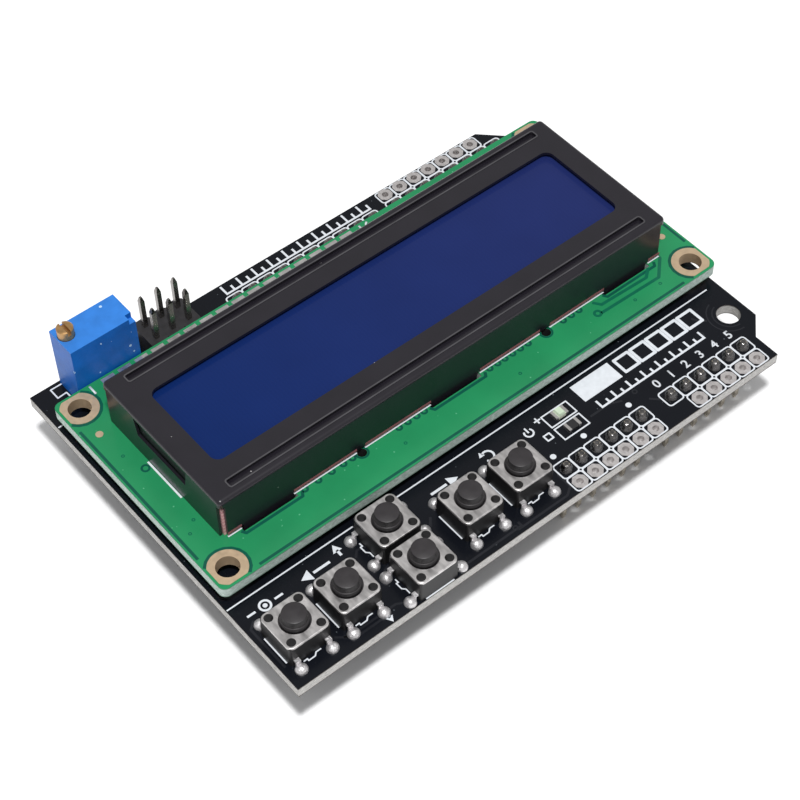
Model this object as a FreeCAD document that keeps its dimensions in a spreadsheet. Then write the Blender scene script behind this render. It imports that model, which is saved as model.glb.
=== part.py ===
import FreeCAD, Part
import os
import Sketcher
from FreeCAD import Placement, Rotation, Vector

# LCD keypad shield, in millimetres, +Z up.
# Z is zero at the tips of the stacking pins, X and Y are zero at the middle of the outline.
# Board coordinates run from the near left corner of the carrier board.

SHEET = {
    # carrier board and the pin grid of the host it stacks on
    "board_long": 80.0, "board_deep": 55.7, "board_thick": 1.6,
    "shoulder": 2.7, "shoulder_start": 3.85, "shoulder_end": 40.6,
    "far_bevel": 2.0, "far_step": 1.1, "host_left": 11.3, "host_near": 1.25,
    "pitch": 2.54, "near_row": 2.54, "far_row": 50.8,
    "power_start": 33.02, "analog_start": 50.8, "low_start": 45.72, "high_start": 18.8,
    "bolt_hole": 1.6, "bolt_along": 66.04, "bolt_across": 7.62,
    # stacking pins and their plastic strips
    "pin_side": 0.64, "pin_reach": 6.0, "pin_taper_tall": 0.7, "pin_above": 1.0,
    "strip_tall": 2.54, "strip_wide": 2.5, "pin_hole": 0.5,
    "fillet_foot": 0.9, "fillet_tip": 0.46, "fillet_tall": 0.75,
    # bare plated holes
    "plate_bore": 0.45, "plate_wall": 0.08, "plate_flat": 1.0, "plate_proud": 0.06,
    # programming header
    "prog_along": 17.1, "prog_across": 51.72, "prog_tall": 8.0, "strip_chamfer": 0.45,
    # power lamp and chip parts
    "chip_long": 2.0, "chip_wide": 1.25, "chip_tall": 0.5, "chip_cap": 0.4,
    "lamp_along": 49.34, "lamp_across": 10.63, "lamp_drop": 2.45,
    "lens_long": 1.25, "lens_tall": 0.35,
    "ladder_along": 22.0, "ladder_across": 20.0, "ladder_step": 2.6,
    "sot_along": 70.0, "sot_across": 24.0, "sot_long": 2.9, "sot_wide": 1.3, "sot_tall": 1.0,
    "sot_leg": 0.45, "sot_reach": 0.6,
    # contrast trimmer
    "trim_long": 9.53, "trim_deep": 4.83, "trim_tall": 10.03, "trim_foot_long": 1.3,
    "trim_foot_tall": 0.5, "trim_gap": 0.13, "trim_along": 4.34, "trim_notch": 0.9,
    "screw_radius": 1.1, "screw_fit": 0.05, "screw_seat": 4.0, "screw_proud": 1.5,
    "screw_end": 1.3, "screw_side": 2.95, "screw_slot": 0.5, "screw_slot_deep": 0.75,
    "screw_break": 0.15, "lead_radius": 0.27, "lead_below": 1.4, "lead_hole": 0.4,
    # push switches
    "key_side": 5.9, "key_tall": 3.2, "key_corner": 0.35, "key_well": 2.35, "key_well_deep": 2.4,
    "post_from_centre": 2.15, "post_radius": 0.45, "post_head": 0.58, "post_head_tall": 0.22,
    "post_fit": 0.03, "cover_side": 6.0, "cover_thick": 0.3, "cover_corner": 0.8,
    "cover_edge": 0.12, "collar_radius": 1.9, "collar_fit": 0.06, "collar_tall": 0.75,
    "collar_slope": 0.15, "cap_radius": 1.7, "cap_tall": 4.8, "cap_break": 0.12,
    "flange_radius": 2.2, "flange_tall": 0.6, "flange_fit": 0.03, "stem_radius": 1.0,
    "dome_radius": 2.0, "dome_tall": 0.62, "dome_thick": 0.08, "dome_fit": 0.03,
    "leg_from_centre": 2.25, "leg_wide": 0.7, "leg_thick": 0.2, "leg_tall": 1.15,
    "leg_shoulder": 0.5, "leg_foot": 1.45, "blob_out": 0.98, "blob_wide": 0.82,
    "blob_long": 0.78, "blob_tall": 0.8,
    "select_along": 4.2, "select_across": 5.75, "left_along": 11.75, "left_across": 5.7,
    "up_along": 21.15, "up_across": 9.9, "down_along": 21.15, "down_across": 3.15,
    "right_along": 30.8, "right_across": 6.1, "reset_along": 38.6, "reset_across": 5.95,
    # display module board
    "lcd_along": 0.3, "lcd_across": 14.3, "lcd_gap": 1.5, "lcd_long": 80.0, "lcd_deep": 36.0,
    "lcd_thick": 1.6, "lcd_corner": 1.0, "lcd_hole": 1.5, "lcd_hole_inset": 2.5,
    "ring_radius": 2.5, "ring_edge": 0.35, "ring_proud": 0.06, "ring_wall": 0.1,
    "lcd_pin_along": 8.0, "lcd_pin_inset": 2.5, "lcd_pin_above": 0.5, "lcd_pin_below": 1.4,
    "lcd_pad_wide": 1.9, "lcd_pad_near": 2.1, "lcd_pad_far": 2.15, "lcd_pad_tall": 0.06,
    "lcd_blob_tall": 0.5, "lcd_blob_wide": 0.78, "chip_blob_radius": 4.6, "chip_blob_tall": 1.0,
    "chip_blob_near": 27.0, "chip_blob_far": 53.0, "chip_blob_across": 17.0,
    # display frame, glass and contact strips
    "bezel_left": 4.4, "bezel_near": 5.9, "bezel_long": 71.2, "bezel_deep": 24.2,
    "bezel_tall": 7.0, "bezel_sheet": 0.4, "bezel_round": 0.6, "bezel_lift": 0.45,
    "corner_gap": 0.75, "corner_gap_tall": 5.9, "window_long": 64.4, "window_deep": 13.9,
    "window_corner": 1.2, "groove_inset": 1.75, "groove_half": 0.6, "groove_end": 2.6,
    "groove_deep": 0.5, "side_slot_long": 9.8, "side_slot_low": 3.4, "side_slot_tall": 2.8,
    "side_slot_slope": 0.5, "tab_long": 7.4, "tab_pitch": 28.9, "tab_drop": 1.3,
    "tab_room": 0.35, "tab_room_outer": 0.5, "tab_bend_hole": 0.65, "tab_bend_along": 15.0,
    "glass_thick": 1.1, "glass_room": 0.2, "glass_seat": 0.05, "zebra_wide": 2.0,
    "zebra_room": 0.1, "light_room": 0.15,
}

doc = FreeCAD.newDocument("lcd_keypad_shield")
sheet = doc.addObject("Spreadsheet::Sheet", "sizes")
for line, (word, amount) in enumerate(SHEET.items(), start=1):
    sheet.set("A%d" % line, word)
    sheet.set("B%d" % line, str(amount))
    sheet.setAlias("B%d" % line, word)
doc.recompute()


class Size:
    # A length that keeps the sheet formula it comes from.
    def __init__(self, number, text):
        self.number = number
        self.text = text

    def __add__(self, other):
        other = as_size(other)
        return Size(self.number + other.number, "(%s + %s)" % (self.text, other.text))

    def __sub__(self, other):
        other = as_size(other)
        return Size(self.number - other.number, "(%s - %s)" % (self.text, other.text))

    def __mul__(self, factor):
        return Size(self.number * factor, "(%s * %s)" % (self.text, factor))

    def __truediv__(self, divisor):
        return Size(self.number / divisor, "(%s / %s)" % (self.text, divisor))

    def __neg__(self):
        return self * -1


def as_size(amount):
    if isinstance(amount, Size):
        return amount
    return Size(float(amount), str(float(amount)))


class Sizes:
    # Reads one named length of the sheet.
    def __getattr__(self, word):
        return Size(float(sheet.get(word)), "sizes." + word)


s = Sizes()
zero = as_size(0)

# Places that several pieces share, from the sheet.
left_edge = -(s.lcd_along + s.lcd_long) / 2
near_edge = -s.board_deep / 2
board_floor = s.pin_reach + s.strip_tall
deck = board_floor + s.board_thick
lcd_floor = deck + s.lcd_gap
lcd_left = left_edge + s.lcd_along
lcd_near = near_edge + s.lcd_across
lcd_top = lcd_floor + s.lcd_thick
bezel_left = lcd_left + s.bezel_left
bezel_near = lcd_near + s.bezel_near
host_left = left_edge + s.host_left
host_near = near_edge + s.host_near
trim_left = left_edge + s.trim_along
trim_near = lcd_near + s.lcd_deep + s.trim_gap
glass_top = s.bezel_tall - s.bezel_sheet - s.groove_deep - s.glass_seat
glass_floor = glass_top - s.glass_thick
pins_in_strip = {"power": 6, "analog": 6, "low": 8, "high": 10}
lcd_pins = 16
prog_columns = 3


def bind(item, field, amount):
    amount = as_size(amount)
    item.setExpression(field, amount.text)


def new_body(name, x, y, z, turn=0):
    body = doc.addObject("PartDesign::Body", name)
    body.Label = name
    body.AllowCompound = True
    body.Placement = Placement(Vector(x.number, y.number, z.number), Rotation(Vector(0, 0, 1), turn))
    bind(body, "Placement.Base.x", x)
    bind(body, "Placement.Base.y", y)
    bind(body, "Placement.Base.z", z)
    return body


def origin_part(body, role):
    for item in body.Origin.OriginFeatures:
        if item.Role == role:
            return item
    raise ValueError("no " + role)


def new_sketch(body, name, offset, plane="XY_Plane"):
    sketch = body.newObject("Sketcher::SketchObject", name)
    sketch.AttachmentSupport = [(origin_part(body, plane), "")]
    sketch.MapMode = "FlatFace"
    sketch.AttachmentOffset = Placement(Vector(0, 0, as_size(offset).number), Rotation())
    bind(sketch, "AttachmentOffset.Base.z", offset)
    return sketch


def pin_point(sketch, curve, end, x, y):
    for kind, amount in (("DistanceX", as_size(x)), ("DistanceY", as_size(y))):
        rule = sketch.addConstraint(Sketcher.Constraint(kind, -1, 1, curve, end, amount.number))
        bind(sketch, "Constraints[%d]" % rule, amount)


def draw_outline(sketch, corners):
    corners = [(as_size(x), as_size(y)) for x, y in corners]
    spots = [Vector(x.number, y.number, 0) for x, y in corners]
    first = len(sketch.Geometry)
    count = len(spots)
    for place in range(count):
        sketch.addGeometry(Part.LineSegment(spots[place], spots[(place + 1) % count]), False)
    for place in range(count):
        following = first + (place + 1) % count
        sketch.addConstraint(Sketcher.Constraint("Coincident", first + place, 2, following, 1))
    for place, (x, y) in enumerate(corners):
        pin_point(sketch, first + place, 1, x, y)


def draw_box(sketch, x, y, long, deep):
    x = as_size(x)
    y = as_size(y)
    draw_outline(sketch, [(x, y), (x + long, y), (x + long, y + deep), (x, y + deep)])


def draw_middle_box(sketch, x, y, long, deep):
    draw_box(sketch, as_size(x) - as_size(long) / 2, as_size(y) - as_size(deep) / 2, long, deep)


def draw_circle(sketch, x, y, radius):
    x = as_size(x)
    y = as_size(y)
    ring = Part.Circle(Vector(x.number, y.number, 0), Vector(0, 0, 1), radius.number)
    curve = sketch.addGeometry(ring, False)
    pin_point(sketch, curve, 3, x, y)
    rule = sketch.addConstraint(Sketcher.Constraint("Radius", curve, radius.number))
    bind(sketch, "Constraints[%d]" % rule, radius)


def draw_octagon(sketch, x, y, flat):
    x = as_size(x)
    y = as_size(y)
    cut = flat * 0.414
    draw_outline(sketch, [(x - flat, y - cut), (x - cut, y - flat), (x + cut, y - flat),
                          (x + flat, y - cut), (x + flat, y + cut), (x + cut, y + flat),
                          (x - cut, y + flat), (x - flat, y + cut)])


def pad(body, name, sketch, tall, slope=None, middle=False):
    feature = body.newObject("PartDesign::Pad", name)
    feature.Profile = sketch
    bind(feature, "Length", tall)
    if slope is not None:
        feature.TaperAngle = slope
    feature.Midplane = middle
    sketch.Visibility = False
    return feature


def pocket(body, name, sketch, deep, upward=False):
    feature = body.newObject("PartDesign::Pocket", name)
    feature.Profile = sketch
    bind(feature, "Length", deep)
    feature.Reversed = upward
    return feature


def repeat(body, name, features, step, count, along="X_Axis"):
    if count < 2:
        return features[-1]
    pattern = body.newObject("PartDesign::LinearPattern", name)
    pattern.Originals = features
    pattern.Direction = (origin_part(body, along), [""])
    pattern.Occurrences = count
    bind(pattern, "Length", as_size(step) * (count - 1))
    body.Tip = pattern
    return pattern


def turned(body, name, profile):
    sketch = new_sketch(body, name + "_half", zero, "XZ_Plane")
    draw_outline(sketch, profile)
    feature = body.newObject("PartDesign::Revolution", name)
    feature.Profile = sketch
    feature.ReferenceAxis = (sketch, ["V_Axis"])
    feature.Angle = 360.0
    return feature


def round_edges(body, name, base, radius, wanted, kind="Fillet"):
    doc.recompute()
    edges = ["Edge%d" % (place + 1) for place, edge in enumerate(base.Shape.Edges) if wanted(edge)]
    feature = body.newObject("PartDesign::" + kind, name)
    feature.Base = (base, edges)
    bind(feature, "Radius" if kind == "Fillet" else "Size", radius)
    return feature


def is_upright(edge):
    start = edge.Vertexes[0].Point
    end = edge.Vertexes[-1].Point
    return abs(start.x - end.x) < 1e-6 and abs(start.y - end.y) < 1e-6 and abs(start.z - end.z) > 1e-6


def drill_row(body, name, z, deep, x, y, radius, step=None, count=1, along="X_Axis"):
    sketch = new_sketch(body, name + "_spot", z)
    draw_circle(sketch, x, y, radius)
    hole = pocket(body, name, sketch, deep)
    return repeat(body, name + "_row", [hole], step, count, along)


# Where each row of holes starts, in board coordinates.
def host_x(start):
    return s.host_left + start


def host_y(row):
    return s.host_near + row


stack_rows = [
    ("power", s.power_start, s.near_row),
    ("analog", s.analog_start, s.near_row),
    ("low", s.low_start, s.far_row),
    ("high", s.high_start, s.far_row),
]
bare_rows = [
    ("power_bare", s.power_start, zero, 6),
    ("analog_bare", s.analog_start + s.pitch, zero, 5),
    ("digital_bare", s.low_start, s.far_row + s.pitch, 7),
]
lcd_pin_x = s.lcd_along + s.lcd_pin_along
lcd_pin_y = s.lcd_across + s.lcd_deep - s.lcd_pin_inset
trim_lead_x = s.trim_along + s.trim_long / 2 - s.pitch
trim_lead_y = s.lcd_across + s.lcd_deep + s.trim_gap + s.trim_deep / 2


# Carrier board: outline with the two shoulders on the right, then every drilled row.
def make_shield_board():
    body = new_body("shield_board", left_edge, near_edge, board_floor)
    right = s.board_long
    inner = s.board_long - s.shoulder
    far = s.board_deep
    outline = new_sketch(body, "board_outline", zero)
    draw_outline(outline, [
        (zero, zero), (inner, zero), (inner, s.shoulder_start),
        (right, s.shoulder_start + s.shoulder), (right, s.shoulder_end - s.shoulder),
        (inner, s.shoulder_end), (inner, far - s.far_bevel - s.far_step),
        (inner - s.far_bevel, far - s.far_step), (inner - s.far_bevel - s.far_step, far),
        (zero, far)])
    pad(body, "board_plate", outline, s.board_thick)
    top = s.board_thick
    for name, start, row in stack_rows:
        drill_row(body, name + "_holes", top, top, host_x(start), host_y(row), s.pin_hole,
                  s.pitch, pins_in_strip[name])
    for name, start, row, count in bare_rows:
        drill_row(body, name + "_holes", top, top, host_x(start), host_y(row),
                  s.plate_bore + s.plate_wall, s.pitch, count)
    drill_row(body, "lcd_pin_holes", top, top, lcd_pin_x, lcd_pin_y, s.pin_hole, s.pitch, lcd_pins)
    for line in range(2):
        drill_row(body, "prog_holes_%d" % line, top, top, s.prog_along, s.prog_across + s.pitch * line,
                  s.pin_hole, s.pitch, prog_columns)
    drill_row(body, "trim_holes", top, top, trim_lead_x, trim_lead_y, s.lead_hole, s.pitch, 3)
    drill_row(body, "bolt_hole_cut", top, top, host_x(s.bolt_along), host_y(s.bolt_across), s.bolt_hole)
    return body


# Bare plated holes: an octagonal land on each face, joined by the plated wall.
def make_breakout_pads():
    body = new_body("breakout_pads", left_edge, near_edge, board_floor)
    for name, start, row, count in bare_rows:
        x = host_x(start)
        y = host_y(row)
        lands = []
        for face, z in (("low", -s.plate_proud), ("high", s.board_thick)):
            sketch = new_sketch(body, name + "_land_" + face, z)
            draw_octagon(sketch, x, y, s.plate_flat)
            draw_circle(sketch, x, y, s.plate_bore)
            lands.append(pad(body, name + "_" + face, sketch, s.plate_proud))
        sketch = new_sketch(body, name + "_wall_ring", zero)
        draw_circle(sketch, x, y, s.plate_bore + s.plate_wall)
        draw_circle(sketch, x, y, s.plate_bore)
        lands.append(pad(body, name + "_wall", sketch, s.board_thick))
        repeat(body, name + "_lands", lands, s.pitch, count)
    return body


# Plastic strip of one pin row: notched between the pins, with a hole for each pin.
def make_strip(name, start, row, count):
    body = new_body(name, host_left + start, host_near + row, s.pin_reach)
    make_strip_plastic(body, s.strip_tall, s.strip_wide, count, 1)
    return body


def make_strip_plastic(body, tall, wide, count, lines):
    half = s.pitch / 2
    cut = s.strip_chamfer
    across = wide / 2
    plan = new_sketch(body, "cell_plan", zero)
    draw_outline(plan, [
        (-half, cut - across), (cut - half, -across), (half - cut, -across), (half, cut - across),
        (half, across - cut + s.pitch * (lines - 1)), (half - cut, across + s.pitch * (lines - 1)),
        (cut - half, across + s.pitch * (lines - 1)), (-half, across - cut + s.pitch * (lines - 1))])
    cell = pad(body, "cell", plan, tall)
    repeat(body, "cells", [cell], s.pitch, count)
    for line in range(lines):
        plan = new_sketch(body, "pin_slot_plan_%d" % line, tall)
        draw_middle_box(plan, zero, s.pitch * line, s.pin_side, s.pin_side)
        slot = pocket(body, "pin_slot_%d" % line, plan, tall)
        repeat(body, "pin_slots_%d" % line, [slot], s.pitch, count)


# A row of square pins with a tapered end, pointed down or up.
def make_pin_row(body, name, x, y, floor, top, count, point_down=True):
    side = s.pin_side
    shaft_floor = floor
    shaft_tall = top - floor - s.pin_taper_tall
    tip_z = top - s.pin_taper_tall
    if point_down:
        shaft_floor = floor + s.pin_taper_tall
        tip_z = floor + s.pin_taper_tall
    shaft_plan = new_sketch(body, name + "_shaft_plan", shaft_floor)
    draw_middle_box(shaft_plan, x, y, side, side)
    shaft = pad(body, name + "_shaft", shaft_plan, shaft_tall)
    tip_plan = new_sketch(body, name + "_tip_plan", tip_z)
    draw_middle_box(tip_plan, x, y, side, side)
    tip = pad(body, name + "_tip", tip_plan, s.pin_taper_tall, slope=-14)
    tip.Reversed = point_down
    return [shaft, tip]


def sit_at(feature, body, x, y, z):
    x = as_size(x)
    y = as_size(y)
    z = as_size(z)
    feature.AttachmentSupport = [(origin_part(body, "XY_Plane"), "")]
    feature.MapMode = "FlatFace"
    feature.AttachmentOffset = Placement(Vector(x.number, y.number, z.number), Rotation())
    bind(feature, "AttachmentOffset.Base.x", x)
    bind(feature, "AttachmentOffset.Base.y", y)
    bind(feature, "AttachmentOffset.Base.z", z)


# A solder fillet or other round part that narrows away from the face it starts on.
def add_cone(body, name, x, y, z, foot, tip, tall, downward=False):
    cone = body.newObject("PartDesign::AdditiveCone", name)
    z = as_size(z)
    if downward:
        z = z - tall
        foot, tip = tip, foot
    sit_at(cone, body, x, y, z)
    bind(cone, "Radius1", foot)
    bind(cone, "Radius2", tip)
    bind(cone, "Height", tall)
    return cone


# Stacking pins with the solder fillet of each pin on the carrier board.
def make_header_pins():
    body = new_body("header_pins", host_left, host_near, zero)
    for name, start, row in stack_rows:
        pieces = make_pin_row(body, name, start, row, zero, deck + s.pin_above, pins_in_strip[name])
        pieces.append(add_cone(body, name + "_fillet", start, row, deck,
                               s.fillet_foot, s.fillet_tip, s.fillet_tall))
        repeat(body, name + "_pins", pieces, s.pitch, pins_in_strip[name])
    return body


# Programming header: two rows of three pins that point up, soldered below.
def make_icsp():
    block = new_body("icsp_header", left_edge + s.prog_along, near_edge + s.prog_across, deck)
    make_strip_plastic(block, s.strip_tall, s.pitch, prog_columns, 2)
    pins = new_body("icsp_pins", left_edge + s.prog_along, near_edge + s.prog_across, deck)
    for line in range(2):
        name = "line_%d" % line
        below = s.board_thick + s.lead_below
        pieces = make_pin_row(pins, name, zero, s.pitch * line, -below, s.prog_tall, prog_columns, False)
        pieces.append(add_cone(pins, name + "_fillet", zero, s.pitch * line, -s.board_thick,
                               s.fillet_foot, s.fillet_tip, s.fillet_tall, downward=True))
        repeat(pins, name + "_pins", pieces, s.pitch, prog_columns)
    return [block, pins]


# Chip part: a flat body with a metal cap wrapped round each end.
def add_chip(body, name, x, y):
    plan = new_sketch(body, name + "_plan", zero)
    draw_middle_box(plan, x, y, s.chip_long - s.chip_cap * 2, s.chip_wide)
    core = pad(body, name + "_core", plan, s.chip_tall)
    caps = []
    for side in (-1, 1):
        plan = new_sketch(body, name + "_cap_plan_%d" % (side + 1), zero)
        middle = as_size(x) + (s.chip_long - s.chip_cap) / 2 * side
        draw_middle_box(plan, middle, y, s.chip_cap, s.chip_wide)
        caps.append(pad(body, name + "_cap_%d" % (side + 1), plan, s.chip_tall * 1.12))
    return [core] + caps


def make_small_parts():
    lamp_x = left_edge + s.lamp_along
    lamp_y = near_edge + s.lamp_across
    lamp = new_body("led_body", lamp_x, lamp_y, deck)
    add_chip(lamp, "lamp", zero, zero)
    lens = new_body("led_lens", lamp_x, lamp_y, deck + s.chip_tall)
    plan = new_sketch(lens, "lens_plan", zero)
    draw_middle_box(plan, zero, zero, s.lens_long - s.chip_cap / 2, s.chip_wide)
    pad(lens, "lens", plan, s.lens_tall, slope=-18)
    resistor = new_body("led_resistor", lamp_x, lamp_y - s.lamp_drop, deck)
    add_chip(resistor, "resistor", zero, zero)
    ladder = new_body("ladder_resistors", left_edge + s.ladder_along, near_edge + s.ladder_across, deck)
    repeat(ladder, "ladder", add_chip(ladder, "ladder_chip", zero, zero), s.ladder_step, 5, "Y_Axis")
    return [lamp, lens, resistor, ladder]


# Backlight transistor: a small three legged package below the display.
def make_transistor():
    body = new_body("backlight_transistor", left_edge + s.sot_along, near_edge + s.sot_across, deck)
    plan = new_sketch(body, "package_plan", s.sot_leg / 4)
    draw_middle_box(plan, zero, zero, s.sot_long, s.sot_wide)
    pad(body, "package", plan, s.sot_tall - s.sot_leg / 4)
    spots = [(-s.pitch * 0.37, -1), (s.pitch * 0.37, -1), (zero, 1)]
    for place, (x, side) in enumerate(spots):
        plan = new_sketch(body, "leg_plan_%d" % place, zero)
        draw_middle_box(plan, x, (s.sot_wide + s.sot_reach) / 2 * side, s.sot_leg, s.sot_reach)
        pad(body, "leg_%d" % place, plan, s.sot_leg)
    return body


# Contrast trimmer: box on two feet, a brass screw in a blind bore, three leads in line.
def make_trimmer():
    body = new_body("trimmer_body", trim_left, trim_near, deck)
    plan = new_sketch(body, "box_plan", zero)
    draw_box(plan, zero, zero, s.trim_long, s.trim_deep)
    pad(body, "box", plan, s.trim_tall)
    plan = new_sketch(body, "channel_plan", zero)
    draw_box(plan, s.trim_foot_long, -s.trim_deep, s.trim_long - s.trim_foot_long * 2, s.trim_deep * 3)
    pocket(body, "channel", plan, s.trim_foot_tall, upward=True)
    plan = new_sketch(body, "notch_plan", s.trim_tall)
    draw_box(plan, s.trim_long - s.trim_notch, zero, s.trim_notch, s.trim_notch)
    pocket(body, "notch", plan, s.trim_notch)
    drill_row(body, "screw_bore", s.trim_tall, s.screw_seat, s.screw_end, s.screw_side,
              s.screw_radius + s.screw_fit)
    for place in range(3):
        drill_row(body, "lead_bore_%d" % place, s.trim_foot_tall + s.lead_hole * 3, s.lead_hole * 3,
                  s.trim_long / 2 + s.pitch * (place - 1), s.trim_deep / 2, s.lead_radius)
    screw = new_body("trimmer_screw", trim_left + s.screw_end, trim_near + s.screw_side, deck)
    floor = s.trim_tall - s.screw_seat + s.screw_fit
    top = s.trim_tall + s.screw_proud
    turned(screw, "screw_round", [
        (zero, floor), (s.screw_radius, floor), (s.screw_radius, top - s.screw_break),
        (s.screw_radius - s.screw_break, top), (zero, top)])
    plan = new_sketch(screw, "blade_plan", top)
    draw_middle_box(plan, zero, zero, s.screw_slot, s.screw_radius * 3)
    pocket(screw, "blade_slot", plan, s.screw_slot_deep)
    leads = new_body("trimmer_leads", left_edge + trim_lead_x, near_edge + trim_lead_y, deck)
    plan = new_sketch(leads, "lead_plan", -s.board_thick - s.lead_below)
    draw_circle(plan, zero, zero, s.lead_radius)
    lead = pad(leads, "lead", plan, s.board_thick + s.lead_below + s.trim_foot_tall + s.lead_hole * 2)
    fillet = add_cone(leads, "lead_fillet", zero, zero, -s.board_thick, s.fillet_foot * 0.9,
                      s.fillet_tip, s.fillet_tall, downward=True)
    repeat(leads, "leads", [lead, fillet], s.pitch, 3)
    return [body, screw, leads]


# One push switch. Its five pieces share the middle of the switch as their origin.
def make_switch(name, along, across, turn):
    x = left_edge + along
    y = near_edge + across
    half = s.key_side / 2
    well_floor = s.key_tall - s.key_well_deep
    cover_top = s.key_tall + s.cover_thick
    posts = [(s.post_from_centre * i, s.post_from_centre * j) for i in (-1, 1) for j in (-1, 1)]

    base = new_body(name + "_base", x, y, deck, turn)
    plan = new_sketch(base, "base_plan", zero)
    draw_middle_box(plan, zero, zero, s.key_side, s.key_side)
    block = pad(base, "block", plan, s.key_tall)
    round_edges(base, "block_corners", block, s.key_corner, is_upright)
    drill_row(base, "well", s.key_tall, s.key_well_deep, zero, zero, s.key_well)
    plan = new_sketch(base, "post_plan", s.key_tall)
    for spot_x, spot_y in posts:
        draw_circle(plan, spot_x, spot_y, s.post_radius)
    pad(base, "posts", plan, s.cover_thick)
    for place, (spot_x, spot_y) in enumerate(posts):
        add_cone(base, "post_head_%d" % place, spot_x, spot_y, cover_top, s.post_head,
                 s.post_radius * 0.8, s.post_head_tall)

    cover = new_body(name + "_plate", x, y, deck + s.key_tall, turn)
    plan = new_sketch(cover, "cover_plan", zero)
    draw_middle_box(plan, zero, zero, s.cover_side, s.cover_side)
    sheet_pad = pad(cover, "cover", plan, s.cover_thick)
    rounded = round_edges(cover, "cover_corners", sheet_pad, s.cover_corner, is_upright)
    tall = s.cover_thick.number
    round_edges(cover, "cover_rim", rounded, s.cover_edge,
                lambda edge: all(abs(v.Point.z - tall) < 1e-6 for v in edge.Vertexes))
    drill_row(cover, "collar_hole", s.cover_thick, s.cover_thick, zero, zero,
              s.collar_radius + s.collar_fit)
    for place, (spot_x, spot_y) in enumerate(posts):
        drill_row(cover, "post_hole_%d" % place, s.cover_thick, s.cover_thick, spot_x, spot_y,
                  s.post_radius + s.post_fit)

    plunger = new_body(name + "_plunger", x, y, deck, turn)
    stem_floor = well_floor + s.dome_tall + s.dome_fit
    flange_top = s.key_tall - s.flange_fit
    collar_top = cover_top + s.collar_tall - s.collar_slope
    turned(plunger, "plunger_round", [
        (zero, stem_floor), (s.stem_radius, stem_floor),
        (s.stem_radius, flange_top - s.flange_tall), (s.flange_radius, flange_top - s.flange_tall),
        (s.flange_radius, flange_top), (s.collar_radius, flange_top),
        (s.collar_radius, collar_top), (s.cap_radius, collar_top + s.collar_slope),
        (s.cap_radius, s.cap_tall - s.cap_break), (s.cap_radius - s.cap_break, s.cap_tall),
        (zero, s.cap_tall)])

    dome = new_body(name + "_dome", x, y, deck + well_floor, turn)
    steps = 4
    outer = [(s.dome_radius * (k / steps), s.dome_tall * (1 - (k / steps) ** 2)) for k in range(steps + 1)]
    inner = [(s.dome_radius * (k / steps), s.dome_tall * (1 - (k / steps) ** 2) - s.dome_thick)
             for k in range(steps - 1, -1, -1)]
    turned(dome, "dome_shell", outer + [(s.dome_radius - s.dome_thick * 2, zero)] + inner)

    legs = new_body(name + "_legs", x, y, deck, turn)
    thick = s.leg_thick
    shoulder = half + s.leg_shoulder
    toe = half + s.leg_foot
    for i in (-1, 1):
        for j in (-1, 1):
            mark = "%d%d" % (i + 1, j + 1)
            profile = new_sketch(legs, "leg_profile_" + mark, s.leg_from_centre * i, "YZ_Plane")
            path = [(half, s.leg_tall), (shoulder, s.leg_tall), (shoulder, thick), (toe, thick),
                    (toe, zero), (shoulder - thick, zero), (shoulder - thick, s.leg_tall - thick),
                    (half, s.leg_tall - thick)]
            draw_outline(profile, [(y_out * j, z) for y_out, z in path])
            pad(legs, "leg_" + mark, profile, s.leg_wide, middle=True)
            blob = legs.newObject("PartDesign::AdditiveEllipsoid", "solder_" + mark)
            sit_at(blob, legs, s.leg_from_centre * i, (half + s.blob_out) * j, zero)
            bind(blob, "Radius1", s.blob_tall)
            bind(blob, "Radius2", s.blob_wide)
            bind(blob, "Radius3", s.blob_long)
            blob.Angle1 = 0
            blob.Angle2 = 90
    return [base, cover, plunger, dome, legs]


# Display board: rounded corners, slots for the frame's tabs, pin holes and four bolt holes.
tab_middles = [s.bezel_long / 2 + s.tab_pitch * k for k in (-1, 0, 1)]


def make_lcd_board():
    body = new_body("lcd_board", lcd_left, lcd_near, lcd_floor)
    plan = new_sketch(body, "lcd_plan", zero)
    draw_box(plan, zero, zero, s.lcd_long, s.lcd_deep)
    plate = pad(body, "lcd_plate", plan, s.lcd_thick)
    round_edges(body, "lcd_corners", plate, s.lcd_corner, is_upright)
    top = s.lcd_thick
    slot_long = s.tab_long + s.tab_room * 2
    slot_deep = s.bezel_sheet + s.tab_room_outer + s.tab_room
    for side, y in (("near", s.bezel_near - s.tab_room_outer),
                    ("far", s.bezel_near + s.bezel_deep - s.bezel_sheet - s.tab_room)):
        for place, middle in enumerate(tab_middles):
            plan = new_sketch(body, "slot_plan_%s_%d" % (side, place), top)
            draw_box(plan, s.bezel_left + middle - slot_long / 2, y, slot_long, slot_deep)
            pocket(body, "slot_%s_%d" % (side, place), plan, top)
    bend_y = s.bezel_near - s.tab_bend_hole / 2
    for place, side in enumerate((-1, 1)):
        drill_row(body, "bend_hole_%d" % place, top, top,
                  s.bezel_left + s.bezel_long / 2 + s.tab_bend_along * side, bend_y, s.tab_bend_hole)
    drill_row(body, "pin_holes", top, top, s.lcd_pin_along, s.lcd_deep - s.lcd_pin_inset,
              s.pin_hole, s.pitch, lcd_pins)
    far_inset = s.lcd_deep - s.lcd_hole_inset * 2
    for place in range(2):
        drill_row(body, "bolt_holes_%d" % place, top, top, s.lcd_hole_inset,
                  s.lcd_hole_inset + far_inset * place, s.lcd_hole + s.ring_wall,
                  s.lcd_long - s.lcd_hole_inset * 2, 2)
    return body


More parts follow.
